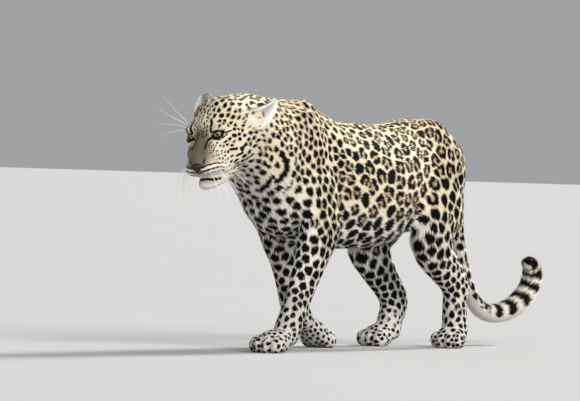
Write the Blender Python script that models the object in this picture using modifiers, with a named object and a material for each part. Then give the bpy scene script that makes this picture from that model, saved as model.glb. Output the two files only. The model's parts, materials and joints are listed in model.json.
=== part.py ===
"""A life-size leopard in a slow walk, head lowered and level with the withers.

Metres, +Z up. The animal faces -X and its left side is -Y. Its flesh is made of lofted tubes and
ovals that are fused, smoothed and then parted with thin flat cuts. The eyes, ears and nose are
solids of their own, each fitted to the head with the same thin gap.
"""

import math

import bmesh
import bpy
import numpy as np
from mathutils import Matrix, Vector

# Driving sizes of the animal, coat included
WITHERS_HEIGHT = 0.650
BELLY_HEIGHT = 0.260
TRUNK_HALF_WIDTH = 0.120
LEG_SPREAD = 0.084
PAW_HALF_WIDTH = 0.047
TAIL_RADIUS = 0.026
GAP = 0.0003

# The whole stands with the middle of its footprint at the origin
FOOTPRINT_CENTRE = Vector((0.3574, 0.0040, 0.0))

# The head has its own frame: forward, left and up from the point midway between the eyes
EYES_MIDPOINT = Vector((-0.386, 0.002, 0.538))
HEAD_PITCH = math.radians(26.0)
HEAD_YAW = math.radians(1.5)
HEAD_ROLL = math.radians(6.0)
EYEBALL = (-29.0, 35.5, 0.0)
EYE_SQUINT = math.radians(38.0)
EYEBALL_RADIUS = 0.0170
EYE_OPENING = (0.0155, 0.0075)
EAR_HEIGHT = 0.076
EAR_HALF_WIDTH = 0.029
EAR_CUP_DEPTH = 0.022
EAR_WALL = 0.0065
NOSE_PAD = (0.0140, 0.0215, 0.0120)

# Each ear's root in the head's frame in millimetres, the way it points and the way it opens
EARS = {
    "left": ((-134, 75, -27), (-60, 38, 30), (0.55, 0.80, -0.10)),
    "right": ((-118, -66, -6), (-38, -8, 62), (0.98, 0.10, 0.15)),
}

# The line of the mouth in the head's frame, from its middle to its left corner, in millimetres
MOUTH = [(64, 0, -86), (60, 14, -91), (50, 27, -95), (26, 42, -98), (10, 52, -90), (2, 58, -82)]
HALF_SLIT = 0.0014

# Joints of the legs in this stride, as (x, z)
LEFT_ELBOW, LEFT_WRIST = (0.024, 0.325), (-0.084, 0.098)
LEFT_FORE_HEEL, LEFT_FORE_TOES = (-0.116, 0.037), (-0.222, 0.018)
RIGHT_ELBOW, RIGHT_WRIST = (0.075, 0.330), (0.135, 0.112)
RIGHT_FORE_HEEL, RIGHT_FORE_TOES = (0.182, 0.070), (0.284, 0.007)
LEFT_KNEE, LEFT_HOCK = (0.492, 0.276), (0.662, 0.158)
LEFT_HIND_HEEL, LEFT_HIND_TOES = (0.658, 0.037), (0.590, 0.018)
RIGHT_KNEE, RIGHT_HOCK = (0.448, 0.272), (0.606, 0.118)
RIGHT_HIND_HEEL, RIGHT_HIND_TOES = (0.566, 0.038), (0.486, 0.018)
HIND_TOES_OUT = {"left": 0.008, "right": 0.020}

# Flat cuts that part the flesh, each a point and the way out of the piece before it
NAPE = ((-0.226, 0, 0.60), (1.0, 0, -0.12))
COLLAR = ((-0.115, 0, 0.52), (1.0, 0, -0.345))
WAIST = ((0.340, 0, 0.4), (1, 0, 0))
DOCK = ((0.7125, 0, 0.50), (1, 0, 0))
BEHIND_LEFT_ELBOW = ((0.102, 0, 0.33), (0.33, 0, -0.13))
BEHIND_RIGHT_ELBOW = ((0.150, 0, 0.33), (0.33, 0, 0.17))
BEFORE_KNEES = ((0.375, 0, 0.3), (-1, 0, 0))
ARMPIT = (0.052, 0.300)
GROIN = (0.040, 0.330)
LEG_CUT_RISE = 0.85
TAIL_CUTS = (16, 24, 33, 42)

# Fineness of the fused flesh
VOXEL = 0.003
BODY_SMOOTHING = 60
HEAD_SMOOTHING = 14
DETAIL_SMOOTHING = 5
BODY_TRIANGLES = 6600
DETAIL_TRIANGLES = 15500
RING_SIDES = 28

# Colours of the coat and of the bare parts, as linear values
COAT = (0.62, 0.47, 0.27, 1.0)
PALE_COAT = (0.80, 0.72, 0.58, 1.0)
NOSE_LEATHER = (0.16, 0.08, 0.07, 1.0)
EYE_GOLD = (0.42, 0.33, 0.10, 1.0)


def clear_scene():
    for each in list(bpy.data.objects):
        bpy.data.objects.remove(each)


def material(name, colour, roughness):
    made = bpy.data.materials.new(name)
    made.use_nodes = True
    shader = made.node_tree.nodes["Principled BSDF"]
    shader.inputs["Base Color"].default_value = colour
    shader.inputs["Roughness"].default_value = roughness
    shader.inputs["Metallic"].default_value = 0.0
    return made


def collection(name):
    made = bpy.data.collections.new(name)
    bpy.context.scene.collection.children.link(made)
    return made


def add_mesh(name, bm, where):
    mesh = bpy.data.meshes.new(name)
    bm.to_mesh(mesh)
    bm.free()
    made = bpy.data.objects.new(name, mesh)
    where.objects.link(made)
    return made


def settle(thing):
    """Replaces an object's mesh with what its modifiers make of it."""
    bpy.context.view_layer.update()
    seen = thing.evaluated_get(bpy.context.evaluated_depsgraph_get())
    mesh = bpy.data.meshes.new_from_object(seen)
    thing.modifiers.clear()
    thing.data = mesh
    return thing


def head_axes():
    forward = Vector((-math.cos(HEAD_PITCH) * math.cos(HEAD_YAW),
                      -math.cos(HEAD_PITCH) * math.sin(HEAD_YAW),
                      -math.sin(HEAD_PITCH)))
    level = Vector((math.sin(HEAD_YAW), -math.cos(HEAD_YAW), 0.0))
    left = Matrix.Rotation(HEAD_ROLL, 3, forward) @ level
    return forward, left, forward.cross(left)


def in_head(forward, left, up):
    """A point of the head's own frame, given in millimetres, as a point of the model."""
    f, l, u = head_axes()
    return EYES_MIDPOINT + (f * forward + l * left + u * up) * 0.001


def head_turn(yaw=0.0, pitch=0.0, roll=0.0):
    """The turn of a piece that is set in the head: its X runs forward and its Y left."""
    f, l, u = head_axes()
    frame = Matrix((f, l, u)).transposed()
    own = Matrix.Rotation(yaw, 3, "Z") @ Matrix.Rotation(-pitch, 3, "Y") @ Matrix.Rotation(roll, 3, "X")
    return frame @ own


def smooth_rows(rows, steps):
    """Rows of numbers run through by a Catmull-Rom curve, with so many steps between each two."""
    rows = np.array(rows, float)
    ends = np.vstack([2 * rows[0] - rows[1], rows, 2 * rows[-1] - rows[-2]])
    t = np.linspace(0, 1, steps, endpoint=False)[:, None]
    made = []
    for a, b, c, d in zip(ends[:-3], ends[1:-2], ends[2:-1], ends[3:]):
        made.append(0.5 * (2 * b + (c - a) * t + (2 * a - 5 * b + 4 * c - d) * t**2
                           + (3 * b - a - 3 * c + d) * t**3))
    return np.vstack(made + [rows[-1:]])


def loft(name, centres, forwards, depths, widths, where, squareness=2.0):
    """A closed tube: one superellipse ring at each centre, across the direction it is given."""
    bm = bmesh.new()
    angles = np.linspace(0, 2 * math.pi, RING_SIDES, endpoint=False)
    power = 2.0 / squareness
    cos, sin = np.cos(angles), np.sin(angles)
    across = np.sign(cos) * np.abs(cos) ** power
    along = np.sign(sin) * np.abs(sin) ** power
    rings = []
    for centre, forward, depth, width in zip(centres, forwards, depths, widths):
        side = Vector((0, 1, 0))
        forward = Vector(forward).normalized()
        side = (side - forward * side.dot(forward)).normalized()
        up = side.cross(forward).normalized()
        rings.append([bm.verts.new(Vector(centre) + side * (width * a) + up * (depth * b))
                      for a, b in zip(across, along)])
    for one, two in zip(rings[:-1], rings[1:]):
        for k in range(RING_SIDES):
            n = (k + 1) % RING_SIDES
            bm.faces.new((one[k], one[n], two[n], two[k]))
    bm.faces.new(list(reversed(rings[0])))
    bm.faces.new(rings[-1])
    bmesh.ops.recalc_face_normals(bm, faces=bm.faces)
    return add_mesh(name, bm, where)


def round_off(rows):
    """Adds rows past the last one that close a tube like the end of a ball."""
    tip, ahead = rows[-1], rows[-1, :3] - rows[-2, :3]
    ahead = ahead / np.linalg.norm(ahead)
    caps = [np.r_[tip[:3] + ahead * tip[3] * 0.7 * math.sin(a), tip[3:] * math.cos(a)]
            for a in (0.5, 0.9, 1.25)]
    return np.vstack([rows, caps])


def limb(name, rows, where, steps=5, round_end=False):
    """A tube along a path. Each row is x, y, z, half depth fore and aft, half width."""
    rows = smooth_rows(rows, steps)
    if round_end:
        rows = round_off(rows)
    path = rows[:, :3]
    forwards = np.gradient(path, axis=0)
    return loft(name, path, forwards, rows[:, 3], rows[:, 4], where)


def trunk(name, rows, where):
    """A tube with upright rings. Each row is x, top, bottom, half width."""
    rows = smooth_rows(rows, 5)
    centres = np.stack([rows[:, 0], 0 * rows[:, 0], (rows[:, 1] + rows[:, 2]) / 2], 1)
    forwards = [(1, 0, 0)] * len(rows)
    return loft(name, centres, forwards, (rows[:, 1] - rows[:, 2]) / 2, rows[:, 3], where, 2.25)


def oval(name, centre, radii, where, turn=None, segments=32, rings=20):
    """An ellipsoid from a round ball, scaled and then turned."""
    bm = bmesh.new()
    bmesh.ops.create_uvsphere(bm, u_segments=segments, v_segments=rings, radius=1.0)
    bmesh.ops.scale(bm, vec=radii, verts=bm.verts)
    if turn is not None:
        bmesh.ops.rotate(bm, cent=(0, 0, 0), matrix=turn, verts=bm.verts)
    bmesh.ops.translate(bm, vec=centre, verts=bm.verts)
    return add_mesh(name, bm, where)


def lean(degrees):
    """A turn in the animal's upright plane that tips a piece's top towards the tail."""
    return Matrix.Rotation(math.radians(degrees), 3, "Y")


def trunk_forms(where):
    """Neck, chest, belly and rump in one tube, with the muscle that stands over it."""
    half = TRUNK_HALF_WIDTH
    top = WITHERS_HEIGHT
    belly = BELLY_HEIGHT
    trunk("trunk_form", [
        (-0.330, top - 0.030, 0.500, 0.40 * half),
        (-0.290, top - 0.006, 0.466, 0.66 * half),
        (-0.225, top + 0.006, 0.436, 0.80 * half),
        (-0.160, top + 0.001, 0.386, 0.84 * half),
        (-0.090, top - 0.004, belly + 0.066, 0.84 * half),
        (-0.010, top - 0.006, belly + 0.020, 0.82 * half),
        (0.070, top - 0.026, belly + 0.006, 0.88 * half),
        (0.150, top - 0.054, belly, 0.96 * half),
        (0.250, top - 0.060, belly, half),
        (0.360, top - 0.062, belly + 0.008, 0.97 * half),
        (0.450, top - 0.052, belly + 0.034, 0.86 * half),
        (0.530, top - 0.043, belly + 0.070, 0.76 * half),
        (0.600, top - 0.055, belly + 0.110, 0.68 * half),
        (0.658, top - 0.086, belly + 0.155, 0.56 * half),
        (0.700, top - 0.118, belly + 0.200, 0.36 * half),
    ], where)
    oval("brisket_form", (-0.098, 0, 0.388), (0.054, 0.078, 0.118), where, lean(-36))
    for side in (-1, 1):
        oval("withers_form", (0.002, side * 0.040, top - 0.070), (0.050, 0.026, 0.070), where, lean(-14))
        oval("neck_form", (-0.180, side * 0.038, 0.540), (0.090, 0.050, 0.090), where, lean(20))
        oval("rump_form", (0.555, side * 0.042, top - 0.105), (0.100, 0.042, 0.062), where, lean(6))


def front_leg_forms(side, elbow, wrist, heel, toes, where):
    """Shoulder, upper arm, forearm and wrist. Elbow, wrist, heel and toes are given as (x, z)."""
    y = side * LEG_SPREAD
    swing = elbow[0] - 0.02
    oval("shoulder_form", (-0.028 + 0.3 * swing, side * 0.072, 0.500), (0.078, 0.036, 0.125), where,
         lean(-14))
    oval("upper_arm_form", (0.012 + 0.6 * swing, side * 0.082, 0.395), (0.080, 0.040, 0.090), where,
         lean(-30))
    mid = 0.5 * (np.array(elbow) + np.array(wrist))
    limb("foreleg_form", [
        (-0.030 + 0.5 * swing, y * 0.90, 0.450, 0.076, 0.038),
        (0.5 * (elbow[0] - 0.03), y * 1.02, 0.5 * (elbow[1] + 0.43), 0.078, 0.041),
        (elbow[0] - 0.012, y * 1.05, elbow[1], 0.068, 0.043),
        (elbow[0] * 0.75 + wrist[0] * 0.25 - 0.004, y * 1.03,
         elbow[1] * 0.75 + wrist[1] * 0.25, 0.060, 0.041),
        (mid[0], y * 1.0, mid[1], 0.050, 0.037),
        (wrist[0] * 0.8 + elbow[0] * 0.2, y * 0.97, wrist[1] * 0.8 + elbow[1] * 0.2, 0.043, 0.034),
        (wrist[0], y * 0.95, wrist[1], 0.038, 0.036),
        (0.5 * (wrist[0] + heel[0]), y * 0.95, 0.5 * (wrist[1] + heel[1]), 0.035, 0.038),
        (heel[0], y * 0.95, heel[1], 0.030, 0.036),
    ], where, round_end=True)
    paw_forms(Vector((heel[0], y * 0.95, heel[1])), Vector((toes[0], y * 0.95, toes[1])), where)


def hind_leg_forms(side, knee, hock, heel, toes, toe_out, where):
    """Haunch, thigh, shank, hock and hind foot. Knee, hock, heel and toes are given as (x, z)."""
    y = side * LEG_SPREAD
    oval("haunch_form", (0.598, side * 0.062, 0.455), (0.092, 0.045, 0.112), where, lean(10))
    thigh = 0.5 * (np.array((0.605, 0.46)) + np.array(knee))
    oval("thigh_form", (thigh[0] + 0.012, side * 0.078, thigh[1] - 0.008), (0.094, 0.042, 0.112), where,
         lean(34))
    mid = 0.5 * (np.array(knee) + np.array(hock))
    limb("hind_leg_form", [
        (0.605, y * 0.80, 0.450, 0.078, 0.036),
        (thigh[0], y * 0.98, thigh[1], 0.092, 0.041),
        (knee[0] + 0.022, y * 1.05, knee[1] + 0.012, 0.074, 0.042),
        (mid[0] * 0.6 + knee[0] * 0.4 + 0.008, y * 1.03, mid[1] * 0.6 + knee[1] * 0.4, 0.062, 0.040),
        (mid[0] * 0.5 + hock[0] * 0.5, y * 0.98, mid[1] * 0.5 + hock[1] * 0.5, 0.050, 0.034),
        (hock[0] - 0.012, y * 0.94, hock[1], 0.049, 0.033),
        (0.5 * (hock[0] + heel[0]) - 0.012, y * 0.92, 0.5 * (hock[1] + heel[1]), 0.041, 0.032),
        (heel[0] - 0.004, y * 0.92, heel[1], 0.034, 0.035),
    ], where, round_end=True)
    sway = side * toe_out
    paw_forms(Vector((heel[0], y * 0.92, heel[1])), Vector((toes[0], y * 0.92 + sway, toes[1])), where)


def paw_forms(heel, toes, where):
    """A paw from heel to toe tips: a broad pad, then four toes side by side."""
    ahead = toes - heel
    reach = ahead.length
    ahead.normalize()
    side = Vector((0, 0, 1)).cross(ahead).normalized()
    up = ahead.cross(side).normalized()
    turn = Matrix((ahead, side, up)).transposed()
    half = PAW_HALF_WIDTH
    oval("pad_form", heel + ahead * (0.42 * reach) - up * 0.002, (0.50 * reach, 0.90 * half, 0.033), where,
         turn)
    for k, (across, back) in enumerate(((-0.70, 0.10), (-0.26, 0.0), (0.26, 0.0), (0.70, 0.10))):
        middle = heel + ahead * (reach * (0.80 - back)) + side * (across * half) - up * 0.004
        oval("toe_form", middle, (0.27 * reach, 0.34 * half, 0.0230), where, turn)


def tail_path():
    """Centre line and radius of the tail, from inside the rump to the tip, as x, y, z, r, r."""
    r = TAIL_RADIUS
    return [
        (0.640, 0.0, 0.530, 1.3 * r, 1.3 * r),
        (0.700, 0.0, 0.508, 1.3 * r, 1.3 * r),
        (0.736, 0.0, 0.445, 1.14 * r, 1.14 * r),
        (0.750, 0.0, 0.360, r, r),
        (0.762, 0.0, 0.284, 0.96 * r, 0.96 * r),
        (0.788, 0.0, 0.212, 0.94 * r, 0.94 * r),
        (0.822, 0.0, 0.150, 0.94 * r, 0.94 * r),
        (0.868, 0.0, 0.107, 0.94 * r, 0.94 * r),
        (0.925, 0.0, 0.088, 0.96 * r, 0.96 * r),
        (0.985, -0.002, 0.090, r, r),
        (1.045, -0.006, 0.108, 1.04 * r, 1.04 * r),
        (1.092, -0.012, 0.143, 1.06 * r, 1.06 * r),
        (1.108, -0.018, 0.186, 1.04 * r, 1.04 * r),
        (1.092, -0.022, 0.216, 0.92 * r, 0.92 * r),
        (1.066, -0.024, 0.222, 0.62 * r, 0.62 * r),
    ]


def head_forms(where):
    """Skull, face, muzzle, jaw and cheeks, in the head's own frame."""
    def at(forward, left, up):
        return in_head(forward, left, up)

    def tube(name, rows):
        """Each row is forward, up, half width, half height."""
        limb(name, [(*at(f, 0, u), h * mm, w * mm) for f, u, w, h in rows], where)

    mm = 0.001
    flat = head_turn()
    oval("cranium_form", at(-95, 0, 4), (0.078, 0.066, 0.060), where, flat)
    oval("forehead_form", at(-48, 0, 9), (0.040, 0.056, 0.036), where, flat)
    tube("bridge_form", [(-40, 6, 40, 28), (-31, -4, 32, 27), (2, -31, 28, 25), (29, -52, 26, 22),
                         (47, -64, 23, 15)])
    tube("jaw_form", [(-110, -70, 50, 40), (-70, -88, 48, 38), (-25, -104, 38, 32), (15, -110, 29, 23),
                      (36, -112, 23, 17)])
    oval("chin_form", at(36, 0, -110), (0.020, 0.025, 0.018), where, flat)
    for side in (-1, 1):
        oval("temple_form", at(-102, side * 30, 12), (0.060, 0.038, 0.044), where, flat)
        oval("maxilla_form", at(-6, side * 28, -42), (0.046, 0.026, 0.030), where,
             head_turn(yaw=side * math.radians(-14)))
        oval("whisker_pad_form", at(24, side * 24, -68), (0.0345, 0.028, 0.025), where,
             head_turn(yaw=side * math.radians(-16), pitch=math.radians(4)))
        oval("lip_corner_form", at(-16, side * 38, -76), (0.044, 0.022, 0.026), where,
             head_turn(yaw=side * math.radians(-12)))
        oval("cheek_form", at(-76, side * 42, -58), (0.066, 0.040, 0.052), where,
             head_turn(pitch=math.radians(15)))
        oval("cheekbone_form", at(-44, side * 48, -22), (0.046, 0.028, 0.027), where,
             head_turn(yaw=side * math.radians(-18), pitch=math.radians(10)))
        oval("brow_form", at(-36, side * 38, 13), (0.028, 0.027, 0.014), where,
             head_turn(yaw=side * math.radians(-24), pitch=math.radians(14)))
        oval("lid_form", at(EYEBALL[0], side * EYEBALL[1], EYEBALL[2]), (0.0215, 0.0215, 0.0205), where)
        oval("ear_root_form", at(-126, side * 57, -6), (0.034, 0.024, 0.034), where, flat)


def fuse(parts, name, where):
    """One closed skin over every form, from small voxels that are then smoothed."""
    bm = bmesh.new()
    for each in parts:
        bm.from_mesh(each.data)
    whole = add_mesh(name, bm, where)
    for each in parts:
        bpy.data.objects.remove(each)
    blocks = whole.modifiers.new("voxels", "REMESH")
    blocks.mode = "VOXEL"
    blocks.voxel_size = VOXEL
    settle(whole)
    body = whole.vertex_groups.new(name="body")
    not_paws = whole.vertex_groups.new(name="not_paws")
    for v in whole.data.vertices:
        from_eyes = (v.co - EYES_MIDPOINT).length
        off_head = min(1.0, max(0.0, from_eyes / 0.10 - 1.3))
        off_floor = min(1.0, max(0.0, v.co.z / 0.05 - 1.0))
        body.add([v.index], min(off_head, off_floor), "REPLACE")
        not_paws.add([v.index], off_floor, "REPLACE")
    smoothings = (("", DETAIL_SMOOTHING), ("not_paws", HEAD_SMOOTHING), ("body", BODY_SMOOTHING))
    for group, rounds in smoothings:
        smoothing = whole.modifiers.new("smoothing", "SMOOTH")
        smoothing.factor = 0.5
        smoothing.iterations = rounds
        smoothing.vertex_group = group
    return settle(whole)


def lighter(thing, name, triangles, where):
    """A copy with so many triangles, fewest where the surface is flattest."""
    made = copy_of(thing, name, where)
    fewer = made.modifiers.new("fewer", "DECIMATE")
    fewer.ratio = triangles / (2.0 * len(made.data.polygons))
    return settle(made)


def boolean(target, cutter, operation):
    step = target.modifiers.new("step", "BOOLEAN")
    step.operation = operation
    step.object = cutter
    step.solver = "EXACT"
    return settle(target)


def copy_of(thing, name, where):
    made = bpy.data.objects.new(name, thing.data.copy())
    where.objects.link(made)
    return made


def grown(thing, name, by, where):
    """A copy whose surface stands out by a little, for cutting a neighbour clear."""
    made = copy_of(thing, name, where)
    bm = bmesh.new()
    bm.from_mesh(made.data)
    bm.normal_update()
    for v in bm.verts:
        v.co += v.normal * by
    bm.to_mesh(made.data)
    bm.free()
    return made


def cut_flat(thing, point, normal):
    """Keeps what lies on the far side of a plane from its normal, and closes the cut."""
    bm = bmesh.new()
    bm.from_mesh(thing.data)
    geometry = list(bm.verts) + list(bm.edges) + list(bm.faces)
    made = bmesh.ops.bisect_plane(bm, geom=geometry, plane_co=point, plane_no=normal, clear_outer=True,
                                  dist=1e-6)
    edges = [e for e in made["geom_cut"] if isinstance(e, bmesh.types.BMEdge)]
    bmesh.ops.edgeloop_fill(bm, edges=edges)
    bmesh.ops.recalc_face_normals(bm, faces=bm.faces)
    bm.to_mesh(thing.data)
    bm.free()
    return thing


def largest_shell(thing):
    """Drops any scrap that a cut has left beside the main closed surface."""
    bm = bmesh.new()
    bm.from_mesh(thing.data)
    left, shells = set(bm.verts), []
    while left:
        queue, shell = [left.pop()], []
        while queue:
            v = queue.pop()
            shell.append(v)
            for e in v.link_edges:
                other = e.other_vert(v)
                if other in left:
                    left.remove(other)
                    queue.append(other)
        shells.append(shell)
    shells.sort(key=len)
    scraps = [v for shell in shells[:-1] for v in shell]
    bmesh.ops.delete(bm, geom=scraps, context="VERTS")
    bm.to_mesh(thing.data)
    bm.free()
    return thing


def cut_piece(whole, name, planes, paint, where):
    """The piece of the flesh that lies inside every plane, half a gap back from each."""
    piece = copy_of(whole, name, where)
    for point, normal in planes:
        normal = Vector(normal).normalized()
        cut_flat(piece, Vector(point) - normal * (GAP / 2), normal)
    largest_shell(piece)
    piece.data.materials.clear()
    piece.data.materials.append(paint)
    piece.data.shade_smooth()
    piece.data.set_sharp_from_angle(angle=math.radians(35))
    return piece


def other_way(plane):
    point, normal = plane
    return point, tuple(-n for n in normal)


def clear_of(piece, planes, spare):
    """Takes out of a piece the space inside every plane, half a gap larger each way."""
    bm = bmesh.new()
    bmesh.ops.create_cube(bm, size=4.0)
    space = add_mesh("space", bm, spare)
    for point, normal in planes:
        normal = Vector(normal).normalized()
        cut_flat(space, Vector(point) + normal * (GAP / 2), normal)
    boolean(piece, space, "DIFFERENCE")
    return largest_shell(piece)


def leg_space(side, root, front, back):
    """The planes round one leg: under a slope that rises outwards, and between two upright cuts."""
    slope = ((0.0, side * root[0], root[1]), (0, -side * LEG_CUT_RISE, 1.0))
    middle = ((0, 0, 0), (0, -side, 0))
    return [slope, middle, front, back]


def part_trunk(whole, fine, paint, where, spare):
    """Head, neck, chest and hindquarters, with the room for each leg taken out of the last two."""
    cut_piece(fine, "head", [NAPE], paint, where)
    cut_piece(whole, "neck", [other_way(NAPE), COLLAR], paint, where)
    chest = cut_piece(whole, "chest", [other_way(COLLAR), WAIST], paint, where)
    hindquarters = cut_piece(whole, "hindquarters", [other_way(WAIST), DOCK], paint, where)
    for side, behind in ((-1, BEHIND_LEFT_ELBOW), (1, BEHIND_RIGHT_ELBOW)):
        clear_of(chest, leg_space(side, ARMPIT, other_way(COLLAR), behind), spare)
        clear_of(hindquarters, leg_space(side, GROIN, BEFORE_KNEES, DOCK), spare)


def part_leg(whole, fine, names, space, upper_cut, joint, ankle, heel, paint, pale, where):
    """One leg in three pieces, parted by the upper cut and across the ankle."""
    floor = ((0, 0, -GAP / 2), (0, 0, -1))
    along = Vector((ankle[0] - joint[0], 0, ankle[1] - joint[1])).normalized()
    foot = Vector((heel[0] - ankle[0], 0, heel[1] - ankle[1])).normalized()
    ankle_cut = ((ankle[0], 0, ankle[1]), tuple(along + foot))
    cut_piece(whole, names[0], space + [upper_cut], paint, where)
    cut_piece(whole, names[1], space + [other_way(upper_cut), ankle_cut], paint, where)
    cut_piece(fine, names[2], space + [other_way(ankle_cut), floor], pale, where)


def part_legs(whole, fine, paint, pale, where):
    """The upper cut lies square to the forearm below the elbow, and nearly level at the knee."""
    fronts = ((-1, "left", BEHIND_LEFT_ELBOW, LEFT_ELBOW, LEFT_WRIST, LEFT_FORE_HEEL),
              (1, "right", BEHIND_RIGHT_ELBOW, RIGHT_ELBOW, RIGHT_WRIST, RIGHT_FORE_HEEL))
    for side, word, behind, elbow, wrist, heel in fronts:
        names = [f"front_{word}_{part}" for part in ("upper_arm", "forearm", "paw")]
        space = leg_space(side, ARMPIT, other_way(COLLAR), behind)
        elbow_cut = ((elbow[0], 0, elbow[1] - 0.025), (wrist[0] - elbow[0], 0, wrist[1] - elbow[1]))
        part_leg(whole, fine, names, space, elbow_cut, elbow, wrist, heel, paint, pale, where)
    hinds = ((-1, "left", LEFT_KNEE, LEFT_HOCK, LEFT_HIND_HEEL),
             (1, "right", RIGHT_KNEE, RIGHT_HOCK, RIGHT_HIND_HEEL))
    for side, word, knee, hock, heel in hinds:
        names = [f"hind_{word}_{part}" for part in ("thigh", "shank", "foot")]
        space = leg_space(side, GROIN, BEFORE_KNEES, DOCK)
        knee_cut = ((knee[0] + 0.03, 0, knee[1] - 0.03), (0.2, 0, -1.0))
        part_leg(whole, fine, names, space, knee_cut, knee, hock, heel, paint, pale, where)


def part_tail(whole, paint, where):
    """Five lengths of tail, each cut square to the tail's own path."""
    path = smooth_rows(tail_path(), 4)[:, :3]
    cuts = [DOCK] + [(tuple(path[k]), tuple(path[k + 1] - path[k - 1])) for k in TAIL_CUTS]
    for k, start in enumerate(cuts):
        planes = [other_way(start), other_way(DOCK)] if k else [other_way(DOCK)]
        cut_piece(whole, f"tail_{k + 1}", planes + cuts[k + 1:k + 2], paint, where)


def almond(name, side, centre, where):
    """A cutter with the outline of an eye: pointed at both corners and flatter above."""
    half_long, half_high = EYE_OPENING
    turn = head_turn(yaw=side * EYE_SQUINT)
    bm = bmesh.new()
    rings = []
    for out in (0.008, 0.045):
        ring = []
        for k in range(16):
            a = 2 * math.pi * k / 16
            height = half_high * (0.75 if math.sin(a) > 0 else 1.0)
            across = math.cos(a) * half_long
            high = math.sin(a) * height * (1.0 - 0.3 * abs(math.cos(a)))
            ring.append(bm.verts.new(centre + turn @ Vector((out, across, high))))
        rings.append(ring)
    for k in range(16):
        n = (k + 1) % 16
        bm.faces.new((rings[0][k], rings[0][n], rings[1][n], rings[1][k]))
    bm.faces.new(list(reversed(rings[0])))
    bm.faces.new(rings[1])
    bmesh.ops.recalc_face_normals(bm, faces=bm.faces)
    return add_mesh(name, bm, where)


def ball(name, centre, radius, where, segments=20, rings=10):
    bm = bmesh.new()
    bmesh.ops.create_uvsphere(bm, u_segments=segments, v_segments=rings, radius=radius)
    bmesh.ops.translate(bm, vec=centre, verts=bm.verts)
    return add_mesh(name, bm, where)


def set_eyes(head, paint, where, spare):
    """Each eyeball sits behind lids that the head's own surface makes."""
    forward, left, up = EYEBALL
    for side, word in ((-1, "right"), (1, "left")):
        centre = in_head(forward, side * left, up)
        eye = ball(f"eye_{word}", centre, EYEBALL_RADIUS, where)
        eye.data.materials.append(paint)
        eye.data.shade_smooth()
        boolean(head, ball("socket", centre, EYEBALL_RADIUS + GAP, spare), "DIFFERENCE")
        boolean(head, almond("opening", side, centre, spare), "DIFFERENCE")


def ear_solid(name, root, points, opens, where):
    """A cupped ear: a trough that widens to a round tip, bent forward at both edges, thickened."""
    f, l, u = head_axes()
    height = (f * points[0] + l * points[1] + u * points[2]).normalized()
    facing = f * opens[0] + l * opens[1] + u * opens[2]
    facing = (facing - height * facing.dot(height)).normalized()
    side = height.cross(facing)
    base = in_head(*root)
    rows, columns = 10, 11
    bm = bmesh.new()
    grid = []
    for r in range(rows):
        v = -0.25 + 1.25 * r / (rows - 1)
        full = max(0.0, v)
        half = EAR_HALF_WIDTH * (0.72 + 0.62 * full - 0.30 * full**2) * math.sqrt(1.0 - 0.96 * full**5)
        depth = EAR_CUP_DEPTH * (1.0 - 0.75 * full**1.5)
        line = []
        for c in range(columns):
            t = 2 * c / (columns - 1) - 1
            drop = 0.10 * EAR_HEIGHT * full * t * t
            line.append(bm.verts.new(base + height * (EAR_HEIGHT * v - drop) + side * (half * t)
                                     - facing * (depth * (1 - t * t))))
        grid.append(line)
    for one, two in zip(grid[:-1], grid[1:]):
        for c in range(columns - 1):
            bm.faces.new((one[c], one[c + 1], two[c + 1], two[c]))
    bmesh.ops.recalc_face_normals(bm, faces=bm.faces)
    ear = add_mesh(name, bm, where)
    wall = ear.modifiers.new("wall", "SOLIDIFY")
    wall.thickness = EAR_WALL
    wall.offset = 0.0
    return settle(ear)


def set_ears(flesh, paint, where, spare):
    """Each ear ends a gap clear of the flesh, both of the head's own surface and of the neck's."""
    clear = [grown(each, "clear_of_flesh", GAP, spare) for each in flesh]
    for word, (root, points, opens) in EARS.items():
        ear = ear_solid(f"ear_{word}", root, points, opens, where)
        for each in clear:
            boolean(ear, each, "DIFFERENCE")
        largest_shell(ear)
        ear.data.materials.append(paint)
        ear.data.shade_smooth()


def set_nose(head, paint, where, spare):
    """The nose pad, let into the front of the muzzle, with its two nostrils."""
    turn = head_turn(pitch=math.radians(-6))
    middle = in_head(50, 0, -58)
    nose = oval("nose", middle, NOSE_PAD, where, turn, 20, 12)
    slot = oval("slot", middle, tuple(r + GAP for r in NOSE_PAD), spare, turn, 20, 12)
    boolean(head, slot, "DIFFERENCE")
    for side in (-1, 1):
        nostril = oval("nostril", in_head(62, side * 11, -61), (0.010, 0.0046, 0.0034), spare,
                       head_turn(yaw=side * math.radians(-25), roll=side * math.radians(25)), 12, 8)
        boolean(nose, nostril, "DIFFERENCE")
    nose.data.materials.append(paint)
    nose.data.shade_smooth()


def cut_mouth(head, spare):
    """The line of the mouth: a thin curved slit that runs round the muzzle under the lips."""
    bm = bmesh.new()
    curve = smooth_rows([(f, -l, u) for f, l, u in MOUTH[:0:-1]] + MOUTH, 2)
    rings = []
    for forward, left, up in curve:
        inner = in_head(forward * 0.55 - 8, left * 0.55, up)
        outer = in_head(forward + 12, left * 1.25, up)
        lift = head_axes()[2] * HALF_SLIT
        rings.append([bm.verts.new(p) for p in (inner - lift, outer - lift, outer + lift, inner + lift)])
    for one, two in zip(rings[:-1], rings[1:]):
        for k in range(4):
            n = (k + 1) % 4
            bm.faces.new((one[k], one[n], two[n], two[k]))
    bm.faces.new(rings[0])
    bm.faces.new(rings[-1])
    bmesh.ops.recalc_face_normals(bm, faces=bm.faces)
    boolean(head, add_mesh("slit", bm, spare), "DIFFERENCE")


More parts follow.
